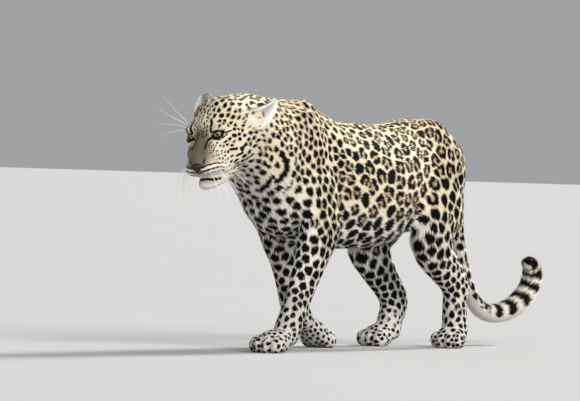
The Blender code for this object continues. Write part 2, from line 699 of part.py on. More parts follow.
def main():
    clear_scene()
    where = collection("leopard")
    spare = collection("cutters")
    coat = material("coat", COAT, 0.75)
    pale = material("pale_coat", PALE_COAT, 0.8)
    leather = material("nose_leather", NOSE_LEATHER, 0.45)
    gold = material("eye", EYE_GOLD, 0.08)

    trunk_forms(spare)
    head_forms(spare)
    front_leg_forms(-1, LEFT_ELBOW, LEFT_WRIST, LEFT_FORE_HEEL, LEFT_FORE_TOES, spare)
    front_leg_forms(1, RIGHT_ELBOW, RIGHT_WRIST, RIGHT_FORE_HEEL, RIGHT_FORE_TOES, spare)
    hind_leg_forms(-1, LEFT_KNEE, LEFT_HOCK, LEFT_HIND_HEEL, LEFT_HIND_TOES, HIND_TOES_OUT["left"], spare)
    hind_leg_forms(1, RIGHT_KNEE, RIGHT_HOCK, RIGHT_HIND_HEEL, RIGHT_HIND_TOES, HIND_TOES_OUT["right"], spare)
    limb("tail_form", tail_path(), spare, round_end=True)
    whole = fuse(list(spare.objects), "flesh", spare)
    plain = lighter(whole, "plain", BODY_TRIANGLES, spare)
    fine = lighter(whole, "fine", DETAIL_TRIANGLES, spare)

    part_trunk(plain, fine, coat, where, spare)
    part_legs(plain, fine, coat, pale, where)
    part_tail(plain, coat, where)
    head = bpy.data.objects["head"]
    set_ears((fine, plain), coat, where, spare)
    set_eyes(head, gold, where, spare)
    set_nose(head, leather, where, spare)
    cut_mouth(head, spare)
    largest_shell(head)

    for each in list(spare.objects):
        bpy.data.objects.remove(each)
    for each in where.objects:
        each.data.transform(Matrix.Translation(-FOOTPRINT_CENTRE))


main()
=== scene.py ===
import json
import math

import bmesh
import bpy
import mathutils
import numpy as np
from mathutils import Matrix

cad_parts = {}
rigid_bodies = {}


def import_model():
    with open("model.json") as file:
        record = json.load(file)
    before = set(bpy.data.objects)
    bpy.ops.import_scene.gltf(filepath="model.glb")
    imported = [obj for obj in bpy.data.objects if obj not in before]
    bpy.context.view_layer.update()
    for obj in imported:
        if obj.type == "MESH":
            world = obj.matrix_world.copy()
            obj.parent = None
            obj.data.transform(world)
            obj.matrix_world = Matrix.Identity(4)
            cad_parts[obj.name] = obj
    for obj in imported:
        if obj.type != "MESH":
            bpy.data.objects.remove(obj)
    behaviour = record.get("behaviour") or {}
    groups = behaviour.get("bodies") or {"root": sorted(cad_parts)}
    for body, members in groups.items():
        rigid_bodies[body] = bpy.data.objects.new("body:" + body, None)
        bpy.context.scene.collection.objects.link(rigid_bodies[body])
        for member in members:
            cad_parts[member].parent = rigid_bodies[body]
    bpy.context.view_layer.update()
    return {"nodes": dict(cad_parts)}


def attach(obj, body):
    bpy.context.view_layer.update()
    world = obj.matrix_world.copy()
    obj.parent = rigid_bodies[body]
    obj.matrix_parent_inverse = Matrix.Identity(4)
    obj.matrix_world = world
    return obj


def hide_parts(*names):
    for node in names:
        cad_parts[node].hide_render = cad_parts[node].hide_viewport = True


for each in list(bpy.data.objects):
    bpy.data.objects.remove(each)
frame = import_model()
print("frame loaded")

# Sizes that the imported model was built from, in metres, with the animal's own floor point
# under its withers. Everything below is worked out there and moved by footCentre at the end.
body = {"withers": 0.650, "belly": 0.260, "trunkHalf": 0.120, "legSpread": 0.084, "pawHalf": 0.047,
        "tailRadius": 0.026, "voxel": 0.003, "coatDepth": 0.0035, "faceCoat": 0.0012, "floor": 0.0006}
skinFaces = {"most": 188000, "keptRound": 0.115}  # triangles of the skin, all kept this near the face
footCentre = np.array((0.3574, 0.0040, 0.0))
head = {"eyes": np.array((-0.386, 0.002, 0.538)), "pitch": math.radians(26.0), "yaw": math.radians(1.5),
        "roll": math.radians(6.0)}
eyes = {"centre": (-29.0, 35.5, 0.0), "turn": 38.0, "radius": 17.0, "halfLong": 16.2, "upper": 6.0,
        "lower": 8.4, "slant": 0.10}
mouthLine = [(64, 0, -86), (60, 14, -91), (50, 27, -95), (26, 42, -98), (10, 52, -90), (2, 58, -82)]
legs = {
    "frontLeft": {"side": -1, "joints": [(0.024, 0.325), (-0.084, 0.098), (-0.116, 0.037), (-0.222, 0.018)]},
    "frontRight": {"side": 1, "joints": [(0.075, 0.330), (0.135, 0.112), (0.182, 0.070), (0.284, 0.007)]},
    "hindLeft": {"side": -1, "joints": [(0.492, 0.276), (0.662, 0.158), (0.658, 0.037), (0.590, 0.018)],
                 "toesOut": 0.008},
    "hindRight": {"side": 1, "joints": [(0.448, 0.272), (0.606, 0.118), (0.566, 0.038), (0.486, 0.018)],
                  "toesOut": 0.020},
}
rng = np.random.default_rng(7)


def unit(v):
    # v / |v|, row by row
    return v / np.maximum(np.linalg.norm(v, axis=-1, keepdims=True), 1e-12)


def ease(x, low, high):
    # 0 below low, 1 above high, 3t^2 - 2t^3 between
    t = np.clip((x - low) / (high - low), 0, 1)
    return t * t * (3 - 2 * t)


def smoothRows(rows, steps):
    # Catmull-Rom curve through rows of numbers, with so many steps between each two
    rows = np.array(rows, float)
    ends = np.vstack([2 * rows[0] - rows[1], rows, 2 * rows[-1] - rows[-2]])
    a, b, c, d = ends[:-3, None], ends[1:-2, None], ends[2:-1, None], ends[3:, None]
    t = np.linspace(0, 1, steps, endpoint=False)[None, :, None]
    curve = 0.5 * (2 * b + (c - a) * t + (2 * a - 5 * b + 4 * c - d) * t**2 + (3 * b - a - 3 * c + d) * t**3)
    return np.vstack([curve.reshape(-1, rows.shape[1]), rows[-1:]])


# The head's own frame: forward, left and up in millimetres from the point between the eyes
headForward = np.array((-math.cos(head["pitch"]) * math.cos(head["yaw"]),
                        -math.cos(head["pitch"]) * math.sin(head["yaw"]), -math.sin(head["pitch"])))
levelLeft = np.array((math.sin(head["yaw"]), -math.cos(head["yaw"]), 0.0))
headLeft = levelLeft * math.cos(head["roll"]) + np.cross(headForward, levelLeft) * math.sin(head["roll"])
headAxes = np.stack([headForward, headLeft, np.cross(headForward, headLeft)])


def inHead(points):
    # From the head's millimetres to the animal's metres: eyes + f forward + l left + u up
    return head["eyes"] + np.asarray(points, float) @ headAxes * 0.001


def toHead(points):
    # The reverse: how far each point lies forward, left and up of the place between the eyes
    return (points - head["eyes"]) @ headAxes.T * 1000


def turned(yaw=0.0, pitch=0.0):
    # Axes of a piece that looks forward in the head, turned by yaw to the left and by pitch upwards
    y, p = math.radians(yaw), math.radians(pitch)
    own = np.array([[math.cos(y) * math.cos(p), math.sin(y) * math.cos(p), math.sin(p)],
                    [-math.sin(y), math.cos(y), 0.0],
                    [-math.cos(y) * math.sin(p), -math.sin(y) * math.sin(p), math.cos(p)]])
    return own @ headAxes


def lean(degrees):
    # Upright axes of the body tipped back by an angle, as rows
    a = math.radians(degrees)
    return np.array([[math.cos(a), 0, -math.sin(a)], [0, 1, 0], [math.sin(a), 0, math.cos(a)]])


def closedGrid(grid, start, end):
    # Triangles of a grid of rings, closed round each ring and drawn together to a point at both ends
    rings, sides = grid.shape[:2]
    points = np.vstack([grid.reshape(-1, 3), start, end])
    r, s = np.meshgrid(np.arange(rings - 1), np.arange(sides), indexing="ij")
    a, b = (r * sides + s).ravel(), (r * sides + (s + 1) % sides).ravel()
    c, d = a + sides, b + sides
    k = np.arange(sides)
    n = (k + 1) % sides
    low, high = rings * sides, rings * sides + 1
    last = (rings - 1) * sides
    tris = np.vstack([np.stack([a, b, d], 1), np.stack([a, d, c], 1),
                      np.stack([np.full(sides, low), n, k], 1),
                      np.stack([np.full(sides, high), last + k, last + n], 1)])
    p, q, w = points[tris[:, 0]], points[tris[:, 1]], points[tris[:, 2]]
    inward = (p * np.cross(q, w)).sum() < 0
    return points, tris[:, ::-1] if inward else tris


def tube(rows, steps=5, square=2.0, sides=28, upright=False, roundEnds=False):
    # T(s, a) = path(s) + width(s) C(a) side(s) + depth(s) S(a) up(s), where C and S are the cosine
    # and sine of a to the power 2 / square. Each row is x, y, z, half depth, half width.
    rows = smoothRows(rows, steps)
    if roundEnds:
        tip, ahead = rows[-1].copy(), rows[-1, :3] - rows[-2, :3]
        ahead /= np.linalg.norm(ahead)
        caps = [np.r_[tip[:3] + ahead * tip[3] * 0.7 * math.sin(g), tip[3:] * math.cos(g)]
                for g in (0.5, 0.9, 1.25)]
        rows = np.vstack([rows, caps])
    forward = np.tile((1.0, 0, 0), (len(rows), 1)) if upright else unit(np.gradient(rows[:, :3], axis=0))
    side = unit(np.array((0, 1.0, 0)) - forward * forward[:, 1:2])
    up = np.cross(side, forward)
    a = np.linspace(0, 2 * np.pi, sides, endpoint=False)
    across = (np.sign(np.cos(a)) * np.abs(np.cos(a)) ** (2 / square))[None, :, None]
    along = (np.sign(np.sin(a)) * np.abs(np.sin(a)) ** (2 / square))[None, :, None]
    grid = (rows[:, None, :3] + rows[:, 4, None, None] * across * side[:, None]
            + rows[:, 3, None, None] * along * up[:, None])
    return closedGrid(grid, rows[0, :3], rows[-1, :3])


def oval(centre, radii, axes=np.eye(3), rings=16, sides=28):
    # E(a, b) = centre + rx cos a cos b X + ry cos a sin b Y + rz sin a Z, with X, Y, Z the rows of axes
    a = np.linspace(-np.pi / 2, np.pi / 2, rings + 2)[1:-1, None]
    b = np.linspace(0, 2 * np.pi, sides, endpoint=False)[None]
    ball = np.stack([np.cos(a) * np.cos(b), np.cos(a) * np.sin(b), np.sin(a) + 0 * b], -1)
    ends = np.array(((0, 0, -1.0), (0, 0, 1.0)))
    place = lambda p: np.asarray(centre) + (p * np.asarray(radii)) @ axes
    return closedGrid(place(ball), *place(ends))


def trunkForms():
    # Rows of the trunk: x, top, bottom and share of the half width, then the masses laid over it
    t, b, h = body["withers"], body["belly"], body["trunkHalf"]
    rows = np.array([
        (-0.330, t - 0.030, 0.500, 0.40), (-0.290, t - 0.006, 0.466, 0.66),
        (-0.225, t + 0.006, 0.436, 0.80), (-0.160, t + 0.001, 0.386, 0.84),
        (-0.090, t - 0.004, b + 0.066, 0.84), (-0.010, t - 0.006, b + 0.020, 0.82),
        (0.070, t - 0.026, b + 0.006, 0.88), (0.150, t - 0.054, b, 0.96), (0.250, t - 0.060, b, 1.0),
        (0.360, t - 0.062, b + 0.008, 0.97), (0.450, t - 0.052, b + 0.034, 0.86),
        (0.530, t - 0.043, b + 0.070, 0.76), (0.600, t - 0.055, b + 0.110, 0.68),
        (0.658, t - 0.086, b + 0.155, 0.56), (0.700, t - 0.118, b + 0.200, 0.36),
    ])
    rows = np.stack([rows[:, 0], 0 * rows[:, 0], (rows[:, 1] + rows[:, 2]) / 2, (rows[:, 1] - rows[:, 2]) / 2,
                     rows[:, 3] * h], 1)
    forms = [tube(rows, square=2.25, upright=True, sides=40)]
    forms.append(oval((-0.098, 0, 0.388), (0.054, 0.078, 0.118), lean(-36)))
    for s in (-1, 1):
        forms.append(oval((0.002, s * 0.040, t - 0.070), (0.050, 0.026, 0.070), lean(-14)))
        forms.append(oval((-0.180, s * 0.038, 0.540), (0.090, 0.050, 0.090), lean(20)))
        forms.append(oval((0.555, s * 0.042, t - 0.105), (0.100, 0.042, 0.062), lean(6)))
    return forms


def pawForms(heel, toes):
    # A broad pad and four toes side by side, laid out along the line from heel to toe tips
    ahead = toes - heel
    reach = np.linalg.norm(ahead)
    ahead = ahead / reach
    side = unit(np.cross((0, 0, 1.0), ahead))
    axes = np.stack([ahead, side, np.cross(ahead, side)])
    half = body["pawHalf"]
    forms = [oval(heel + ahead * 0.42 * reach - axes[2] * 0.002, (0.50 * reach, 0.90 * half, 0.033), axes)]
    for across, back in ((-0.70, 0.10), (-0.26, 0.0), (0.26, 0.0), (0.70, 0.10)):
        middle = heel + ahead * reach * (0.80 - back) + side * across * half - axes[2] * 0.004
        forms.append(oval(middle, (0.27 * reach, 0.34 * half, 0.023), axes))
    return forms


def frontLegForms(leg):
    # Shoulder and upper arm as ovals, then one tube from the shoulder down to the heel of the paw
    s = leg["side"]
    y = s * body["legSpread"]
    elbow, wrist, heel, toes = [np.array(j) for j in leg["joints"]]
    swing = elbow[0] - 0.02
    mid = (elbow + wrist) / 2
    forms = [oval((-0.028 + 0.3 * swing, s * 0.072, 0.500), (0.078, 0.036, 0.125), lean(-14)),
             oval((0.012 + 0.6 * swing, s * 0.082, 0.395), (0.080, 0.040, 0.090), lean(-30))]
    at = lambda xz, part, depth, width: (xz[0], y * part, xz[1], depth, width)
    forms.append(tube([
        (-0.030 + 0.5 * swing, y * 0.90, 0.450, 0.076, 0.038),
        (0.5 * (elbow[0] - 0.03), y * 1.02, 0.5 * (elbow[1] + 0.43), 0.078, 0.041),
        at(elbow + (-0.012, 0), 1.05, 0.068, 0.043),
        at(elbow * 0.75 + wrist * 0.25 + (-0.004, 0), 1.03, 0.060, 0.041),
        at(mid, 1.0, 0.050, 0.037),
        at(wrist * 0.8 + elbow * 0.2, 0.97, 0.043, 0.034),
        at(wrist, 0.95, 0.038, 0.036),
        at((wrist + heel) / 2, 0.95, 0.035, 0.038),
        at(heel, 0.95, 0.030, 0.036),
    ], roundEnds=True))
    return forms + pawForms(np.array((heel[0], y * 0.95, heel[1])), np.array((toes[0], y * 0.95, toes[1])))


def hindLegForms(leg):
    # Hip and thigh as ovals, then one tube from the hip down to the heel of the foot
    s = leg["side"]
    y = s * body["legSpread"]
    knee, hock, heel, toes = [np.array(j) for j in leg["joints"]]
    thigh, mid = (np.array((0.605, 0.46)) + knee) / 2, (knee + hock) / 2
    at = lambda xz, part, depth, width: (xz[0], y * part, xz[1], depth, width)
    forms = [oval((0.598, s * 0.062, 0.455), (0.092, 0.045, 0.112), lean(10)),
             oval((thigh[0] + 0.012, s * 0.078, thigh[1] - 0.008), (0.094, 0.042, 0.112), lean(34))]
    forms.append(tube([
        (0.605, y * 0.80, 0.450, 0.078, 0.036),
        at(thigh, 0.98, 0.092, 0.041),
        at(knee + (0.022, 0.012), 1.05, 0.074, 0.042),
        at(mid * 0.6 + knee * 0.4 + (0.008, 0), 1.03, 0.062, 0.040),
        at((mid + hock) / 2, 0.98, 0.050, 0.034),
        at(hock + (-0.012, 0), 0.94, 0.049, 0.033),
        at((hock + heel) / 2 + (-0.012, 0), 0.92, 0.041, 0.032),
        at(heel + (-0.004, 0), 0.92, 0.034, 0.035),
    ], roundEnds=True))
    start = np.array((heel[0], y * 0.92, heel[1]))
    return forms + pawForms(start, np.array((toes[0], y * 0.92 + s * leg["toesOut"], toes[1])))


# Centre line of the tail and its radius as a share of tailRadius
tailRows = [
    (0.640, 0.0, 0.530, 1.30), (0.700, 0.0, 0.508, 1.30), (0.736, 0.0, 0.445, 1.14),
    (0.750, 0.0, 0.360, 1.0), (0.762, 0.0, 0.284, 0.96), (0.788, 0.0, 0.212, 0.94),
    (0.822, 0.0, 0.150, 0.94), (0.868, 0.0, 0.107, 0.94), (0.925, 0.0, 0.088, 0.96),
    (0.985, -0.002, 0.090, 1.0), (1.045, -0.006, 0.108, 1.04), (1.092, -0.012, 0.143, 1.06),
    (1.108, -0.018, 0.186, 1.04), (1.092, -0.022, 0.216, 0.92), (1.066, -0.024, 0.222, 0.62),
]


def tailForm():
    # A round tube along the tail's centre line, radius = share x tailRadius
    rows = np.array(tailRows)
    r = rows[:, 3:] * body["tailRadius"]
    return tube(np.hstack([rows[:, :3], r, r]), roundEnds=True)


def headForms():
    # Each tube row is forward, up, half width, half height; each oval is forward, left, up, its
    # radii, and its yaw and pitch, all in the head's frame and millimetres
    tubes = [
        [(-40, 6, 40, 28), (-31, -4, 32, 27), (2, -31, 28, 25), (29, -52, 26, 22), (47, -64, 23, 15)],
        [(-110, -70, 50, 40), (-70, -88, 48, 38), (-25, -104, 38, 32), (15, -110, 29, 23),
         (36, -112, 23, 17)],
    ]
    single = [((-95, 0, 4), (78, 66, 60)), ((-48, 0, 9), (40, 56, 36)), ((36, 0, -110), (20, 25, 18))]
    paired = [
        ((-102, 30, 12), (60, 38, 44), 0, 0), ((-6, 28, -42), (46, 26, 30), -14, 0),
        ((24, 24, -68), (34.5, 28, 25), -16, 4), ((-16, 38, -76), (44, 22, 26), -12, 0),
        ((-76, 42, -58), (66, 40, 52), 0, 15), ((-44, 48, -22), (46, 28, 27), -18, 10),
        ((-36, 38, 13), (28, 27, 14), -24, 14), ((-126, 57, -6), (34, 24, 34), 0, 0),
        (eyes["centre"], (21.5, 21.5, 20.5), 0, 0),
    ]
    forms = []
    for rows in tubes:
        centres = inHead([(f, 0, u) for f, u, _, _ in rows])
        sizes = np.array([(h, w) for _, _, w, h in rows]) * 0.001
        forms.append(tube(np.hstack([centres, sizes])))
    for centre, radii in single:
        forms.append(oval(inHead(centre), np.array(radii) * 0.001, headAxes))
    for centre, radii, yaw, pitch in paired:
        for s in (-1, 1):
            middle = inHead(centre * np.array((1, s, 1)))
            forms.append(oval(middle, np.array(radii) * 0.001, turned(s * yaw, pitch)))
    return forms


def meshFrom(name, points, tris):
    # A smooth shaded mesh from whole arrays, moved from the animal's own floor point to the frame's
    mesh = bpy.data.meshes.new(name)
    mesh.vertices.add(len(points))
    mesh.vertices.foreach_set("co", (points - footCentre).astype(np.float32).ravel())
    mesh.loops.add(tris.size)
    mesh.loops.foreach_set("vertex_index", tris.astype(np.int32).ravel())
    mesh.polygons.add(len(tris))
    mesh.polygons.foreach_set("loop_start", np.arange(0, tris.size, tris.shape[1], dtype=np.int32))
    mesh.polygons.foreach_set("use_smooth", np.ones(len(tris), bool))
    mesh.update(calc_edges=True)
    return mesh


leopard = bpy.data.collections.new("leopardLooks")
bpy.context.scene.collection.children.link(leopard)


def addPiece(name, mesh, material=None):
    # A named object at the origin, in the leopard's collection
    piece = bpy.data.objects.new(name, mesh)
    leopard.objects.link(piece)
    if material is not None:
        mesh.materials.append(material)
    return piece


def settled(piece):
    # The mesh that a piece's modifiers make, in place of its own
    bpy.context.view_layer.update()
    mesh = bpy.data.meshes.new_from_object(piece.evaluated_get(bpy.context.evaluated_depsgraph_get()))
    piece.modifiers.clear()
    piece.data = mesh
    return mesh


def meshPoints(mesh):
    # Vertices of a mesh as rows, measured from the animal's own floor point
    co = np.empty(len(mesh.vertices) * 3, np.float32)
    mesh.vertices.foreach_get("co", co)
    return co.reshape(-1, 3).astype(float) + footCentre


def setPoints(mesh, points):
    # Puts rows of points back into a mesh
    mesh.vertices.foreach_set("co", (points - footCentre).astype(np.float32).ravel())
    mesh.update()


def meshEdges(mesh):
    # The two ends of each edge
    ends = np.empty(len(mesh.edges) * 2, np.int32)
    mesh.edges.foreach_get("vertices", ends)
    return ends.reshape(-1, 2)


def meshNormals(mesh):
    # Vertex normals as rows
    n = np.empty(len(mesh.vertices) * 3, np.float32)
    mesh.vertices.foreach_get("normal", n)
    return n.reshape(-1, 3).astype(float)


def joined(shapes):
    # Points and triangles of several shapes as one
    offsets = np.cumsum([0] + [len(points) for points, _ in shapes[:-1]])
    tris = np.vstack([own + offset for (_, own), offset in zip(shapes, offsets)])
    return np.vstack([points for points, _ in shapes]), tris


def trianglesOf(mesh):
    # Corners of a mesh's triangles, their areas and the mesh's points and normals
    mesh.calc_loop_triangles()
    corners = np.empty(len(mesh.loop_triangles) * 3, np.int32)
    mesh.loop_triangles.foreach_get("vertices", corners)
    corners, points = corners.reshape(-1, 3), meshPoints(mesh)
    a, b, c = (points[corners[:, k]] for k in range(3))
    return corners, np.linalg.norm(np.cross(b - a, c - a), axis=1) / 2, points, meshNormals(mesh)


def scattered(corners, *fields):
    # One random place in each triangle, read from fields on its corners: a (1 - u - v) + b u + c v
    u, v = rng.random((2, len(corners), 1))
    u, v = np.where(u + v > 1, 1 - u, u), np.where(u + v > 1, 1 - v, v)
    return [k[corners[:, 0]] * (1 - u - v) + k[corners[:, 1]] * u + k[corners[:, 2]] * v for k in fields]


def relaxed(points, edges, rounds, share):
    # Each round moves a point by half its share towards the mean of its neighbours
    a, b = edges.T
    count = np.bincount(np.r_[a, b], minlength=len(points))[:, None]
    share = 0.5 * np.asarray(share)[:, None]
    for _ in range(rounds):
        mean = np.stack([np.bincount(a, points[b, k], len(points)) + np.bincount(b, points[a, k], len(points))
                         for k in range(3)], 1) / count
        points = points + share * (mean - points)
    return points


def nearest(points, path):
    # Distance from each point to a path of samples, and the place of the nearest sample on it, 0 to 1
    path = np.asarray(path)
    best, at = np.full(len(points), 1e9), np.zeros(len(points))
    for k, sample in enumerate(path):
        d = ((points - sample) ** 2).sum(1)
        closer = d < best
        best[closer], at[closer] = d[closer], k
    return np.sqrt(best), at / (len(path) - 1)


def buildSkin():
    # All forms fused on a voxel grid, then relaxed: a little everywhere, most away from head and floor
    forms = trunkForms() + headForms() + [tailForm()]
    for name, leg in legs.items():
        forms += frontLegForms(leg) if name.startswith("front") else hindLegForms(leg)
    skin = addPiece("skin", meshFrom("skin", *joined(forms)))
    voxels = skin.modifiers.new("voxels", "REMESH")
    voxels.mode, voxels.voxel_size = "VOXEL", body["voxel"]
    mesh = settled(skin)
    points, edges = meshPoints(mesh), meshEdges(mesh)
    offHead = np.clip(np.linalg.norm(points - head["eyes"], axis=1) / 0.10 - 1.3, 0, 1)
    offFloor = np.clip(points[:, 2] / 0.05 - 1, 0, 1)
    points = relaxed(points, edges, 5, np.ones(len(points)))
    points = relaxed(points, edges, 14, offFloor)
    points = relaxed(points, edges, 60, np.minimum(offHead, offFloor))
    setPoints(mesh, points)
    return skin


def refined(mesh, mask):
    # Halves the edges whose two ends both lie in a mask of the head's frame
    inside = mask(toHead(meshPoints(mesh)))
    picked = np.nonzero(inside[meshEdges(mesh)].all(axis=1))[0]
    bm = bmesh.new()
    bm.from_mesh(mesh)
    bm.edges.ensure_lookup_table()
    bmesh.ops.subdivide_edges(bm, edges=[bm.edges[k] for k in picked], cuts=1, use_grid_fill=True)
    bm.to_mesh(mesh)
    bm.free()


def pathDistance(points, path, steps=10):
    # Distance to a smooth curve through a few points, in the points' own units
    return nearest(points, smoothRows(path, steps))[0]


def twoSides(*paths):
    # Each path as it is and mirrored to the other side of the head
    return [np.array(path, float) * (1, s, 1) for path in paths for s in (1, -1)]


nose = {"at": (51.5, 0, -57.0), "radii": (10.5, 16.0, 10.0), "nostril": (0.62, -0.25), "dent": 5.0}
mouthPath = np.vstack([np.array(mouthLine[:0:-1], float) * (1, -1, 1), np.array(mouthLine, float)])


def eyePlace(points, side):
    # Head points as seen from one eye: towards the nose, up and outwards from the middle of the
    # ball, and how deep inside the slit of the lids, with both lids bowed as 1 - t^2
    turn = math.radians(eyes["turn"])
    centre = np.array(eyes["centre"]) * (1, side, 1)
    out = np.array((math.cos(turn), side * math.sin(turn), 0))
    inner = np.array((math.sin(turn), -side * math.cos(turn), 0))
    q = points - centre
    x, z, w = q @ inner, q[:, 2], q @ out
    tilted = z + eyes["slant"] * x
    t = np.clip(x / eyes["halfLong"], -1, 1)
    bow = np.maximum(1 - t * t, 0) ** 0.8
    deep = np.minimum(eyes["upper"] * bow - tilted, tilted + eyes["lower"] * bow)
    past = np.maximum(np.abs(x) - eyes["halfLong"], 0)
    deep = np.where(past > 0, -np.hypot(past, tilted), deep)
    return centre, x, z, w, np.where(w > 0, deep, -30.0)


def sculptFace(mesh):
    # Philtrum, line of the mouth, nose wings, tear furrows and the lids round each ball
    points, normals = meshPoints(mesh), meshNormals(mesh)
    near = np.linalg.norm(points - head["eyes"], axis=1) < 0.17
    p, n = toHead(points[near]), normals[near] @ headAxes.T
    strokes = [([np.array([(61, 1, -68), (61, 0.5, -76), (59, 0, -84)], float)], 1.8, -3.0),
               ([mouthPath], 2.6, -5.5),
               (twoSides([(44, 17, -49), (51, 21, -56), (51, 20, -66)]), 3.0, -2.2),
               (twoSides([(-3, 23, -5), (5, 23, -19), (15, 22, -32)]), 6.0, -1.8),
               (twoSides([(-66, 20, 44), (-48, 9, 34), (-32, 4, 22)]), 8.0, -1.4),
               (twoSides([(34, 46, -72), (10, 53, -68), (-14, 56, -60)]), 9.0, 1.2)]
    for paths, radius, height in strokes:
        for path in paths:
            p = p + (height * np.exp(-(pathDistance(p, path) / radius) ** 2))[:, None] * n
    for side in (-1, 1):
        centre, x, z, w, deep = eyePlace(p, side)
        ray, reach = unit(p - centre), np.linalg.norm(p - centre, axis=1)
        lid = eyes["radius"] + 1.5 + 0.9 * (z > 0)
        reach = reach + ease(deep, -8.5, -0.4) * (lid - reach)
        reach = reach + ease(deep, -0.3, 0.8) * (eyes["radius"] - 2.6 - reach)
        fold = np.exp(-((deep + 5.4) / 1.4) ** 2) * ease(15 - np.abs(x), 0, 6)
        reach = reach - fold * np.where(z > 1, 1.4, 0.7)
        seen = (w > 0) & (deep > -13)
        p = np.where(seen[:, None], centre + ray * reach[:, None], p)
    points[near] = inHead(p)
    setPoints(mesh, points)


def muscled(points, normals):
    # Furrows and ridges of the muscles: path in metres, radius, height along the normal
    strokes = [
        ([(0.085, 0.115, 0.33), (0.070, 0.118, 0.42), (0.055, 0.112, 0.53)], 0.024, -0.0055),
        ([(-0.050, 0.095, 0.58), (-0.078, 0.112, 0.50), (-0.080, 0.110, 0.41)], 0.020, -0.0045),
        ([(-0.030, 0.100, 0.61), (-0.012, 0.110, 0.54), (-0.008, 0.118, 0.46)], 0.015, 0.0030),
        ([(0.405, 0.105, 0.29), (0.450, 0.112, 0.36), (0.495, 0.110, 0.47)], 0.024, -0.0060),
        ([(0.700, 0.060, 0.40), (0.665, 0.085, 0.34), (0.645, 0.095, 0.27)], 0.016, -0.0030),
    ]
    for path, radius, height in strokes:
        for s in (1, -1):
            d = pathDistance(points, np.array(path) * (1, s, 1), 6)
            points = points + (height * np.exp(-(d / radius) ** 2))[:, None] * normals
    return points


def coatDepthAt(points):
    # How far the skin lies inside the outline: least on the face and the feet
    offFace = ease(np.linalg.norm(points - head["eyes"], axis=1), 0.09, 0.20)
    deeper = (body["coatDepth"] - body["faceCoat"]) * offFace * ease(points[:, 2], 0.03, 0.14)
    return body["faceCoat"] + deeper


def dressSkin(skin):
    # The fused skin with its muscles, sunk by the depth of the coat and refined over the face
    mesh = skin.data
    points, normals = meshPoints(mesh), meshNormals(mesh)
    points = muscled(points - normals * coatDepthAt(points)[:, None], normals)
    points[:, 2] = np.maximum(points[:, 2], body["floor"])
    setPoints(mesh, points)
    sockets = lambda p: np.linalg.norm(np.abs(p - (-14, 0, 0)) - (0, 40, 0), axis=1) < 25
    tipOfNose = lambda p: np.linalg.norm(p - (56, 0, -68), axis=1) - 18
    mouth = lambda p: np.minimum(pathDistance(p, mouthPath), tipOfNose(p)) < 7
    refined(mesh, lambda p: (p[:, 0] > -62) & (np.abs(p[:, 1]) < 72) & (p[:, 2] > -140) & (p[:, 2] < 42))
    refined(mesh, lambda p: sockets(p) | mouth(p))
    points = meshPoints(mesh)
    fine = ease(np.linalg.norm(points - inHead((0, 0, -30)), axis=1), 0.13, 0.10)
    setPoints(mesh, relaxed(points, meshEdges(mesh), 6, fine))
    sculptFace(mesh)


def thinnedSkin(skin):
    # Fewer faces away from the face, which keeps all of its own
    far = np.linalg.norm(meshPoints(skin.data) - inHead((0, 0, -30)), axis=1) > skinFaces["keptRound"]
    group = skin.vertex_groups.new(name="mayThin")
    group.add(np.nonzero(far)[0].tolist(), 1.0, "REPLACE")
    fewer = skin.modifiers.new("fewer", "DECIMATE")
    fewer.vertex_group, fewer.use_collapse_triangulate = "mayThin", True
    fewer.ratio = min(1.0, skinFaces["most"] / (2 * len(skin.data.polygons)))
    mesh = settled(skin)
    skin.vertex_groups.clear()
    return mesh


# Middle lines of the body for the lie of the coat, with a radius for each point: x, y, z, radius
headLine = [(66, -66, 0.030), (40, -62, 0.036), (0, -44, 0.055), (-60, -30, 0.075), (-130, -30, 0.080)]
backLine = [
    (-0.180, 0, 0.530, 0.090), (-0.080, 0, 0.490, 0.110), (0.020, 0, 0.460, 0.130), (0.180, 0, 0.435, 0.150),
    (0.360, 0, 0.440, 0.140), (0.500, 0, 0.465, 0.120), (0.600, 0, 0.490, 0.090), (0.672, 0, 0.505, 0.050),
]


def legLine(name, leg):
    # Down one leg: two points in the trunk, then the joints and the middle of the upper bone
    (x0, z0), (x1, z1), (x2, z2), (x3, z3) = leg["joints"]
    y = leg["side"] * body["legSpread"]
    if name.startswith("front"):
        top = [(-0.030, 0.86 * y, 0.560, 0.060), (-0.012 + 0.3 * x0, y, 0.440, 0.070), (x0, y, z0, 0.055)]
    else:
        top = [(0.600, 0.7 * y, 0.530, 0.070), (0.585, 0.9 * y, 0.430, 0.090), (x0 + 0.03, y, z0, 0.070)]
    return np.array(top + [
        (0.5 * (x0 + x1), y, 0.5 * (z0 + z1), 0.048), (x1, 0.95 * y, z1, 0.040), (x2, 0.94 * y, z2, 0.040),
        (x3 + 0.01, 0.94 * y, z3, 0.034),
    ])


lieLines = {"trunk": np.vstack([[np.r_[inHead((f, 0, u)), r] for f, u, r in headLine], backLine,
                                [(x, y, z, 0.032) for x, y, z, _ in tailRows[2:]]])}
lieLines.update({name: legLine(name, leg) for name, leg in legs.items()})


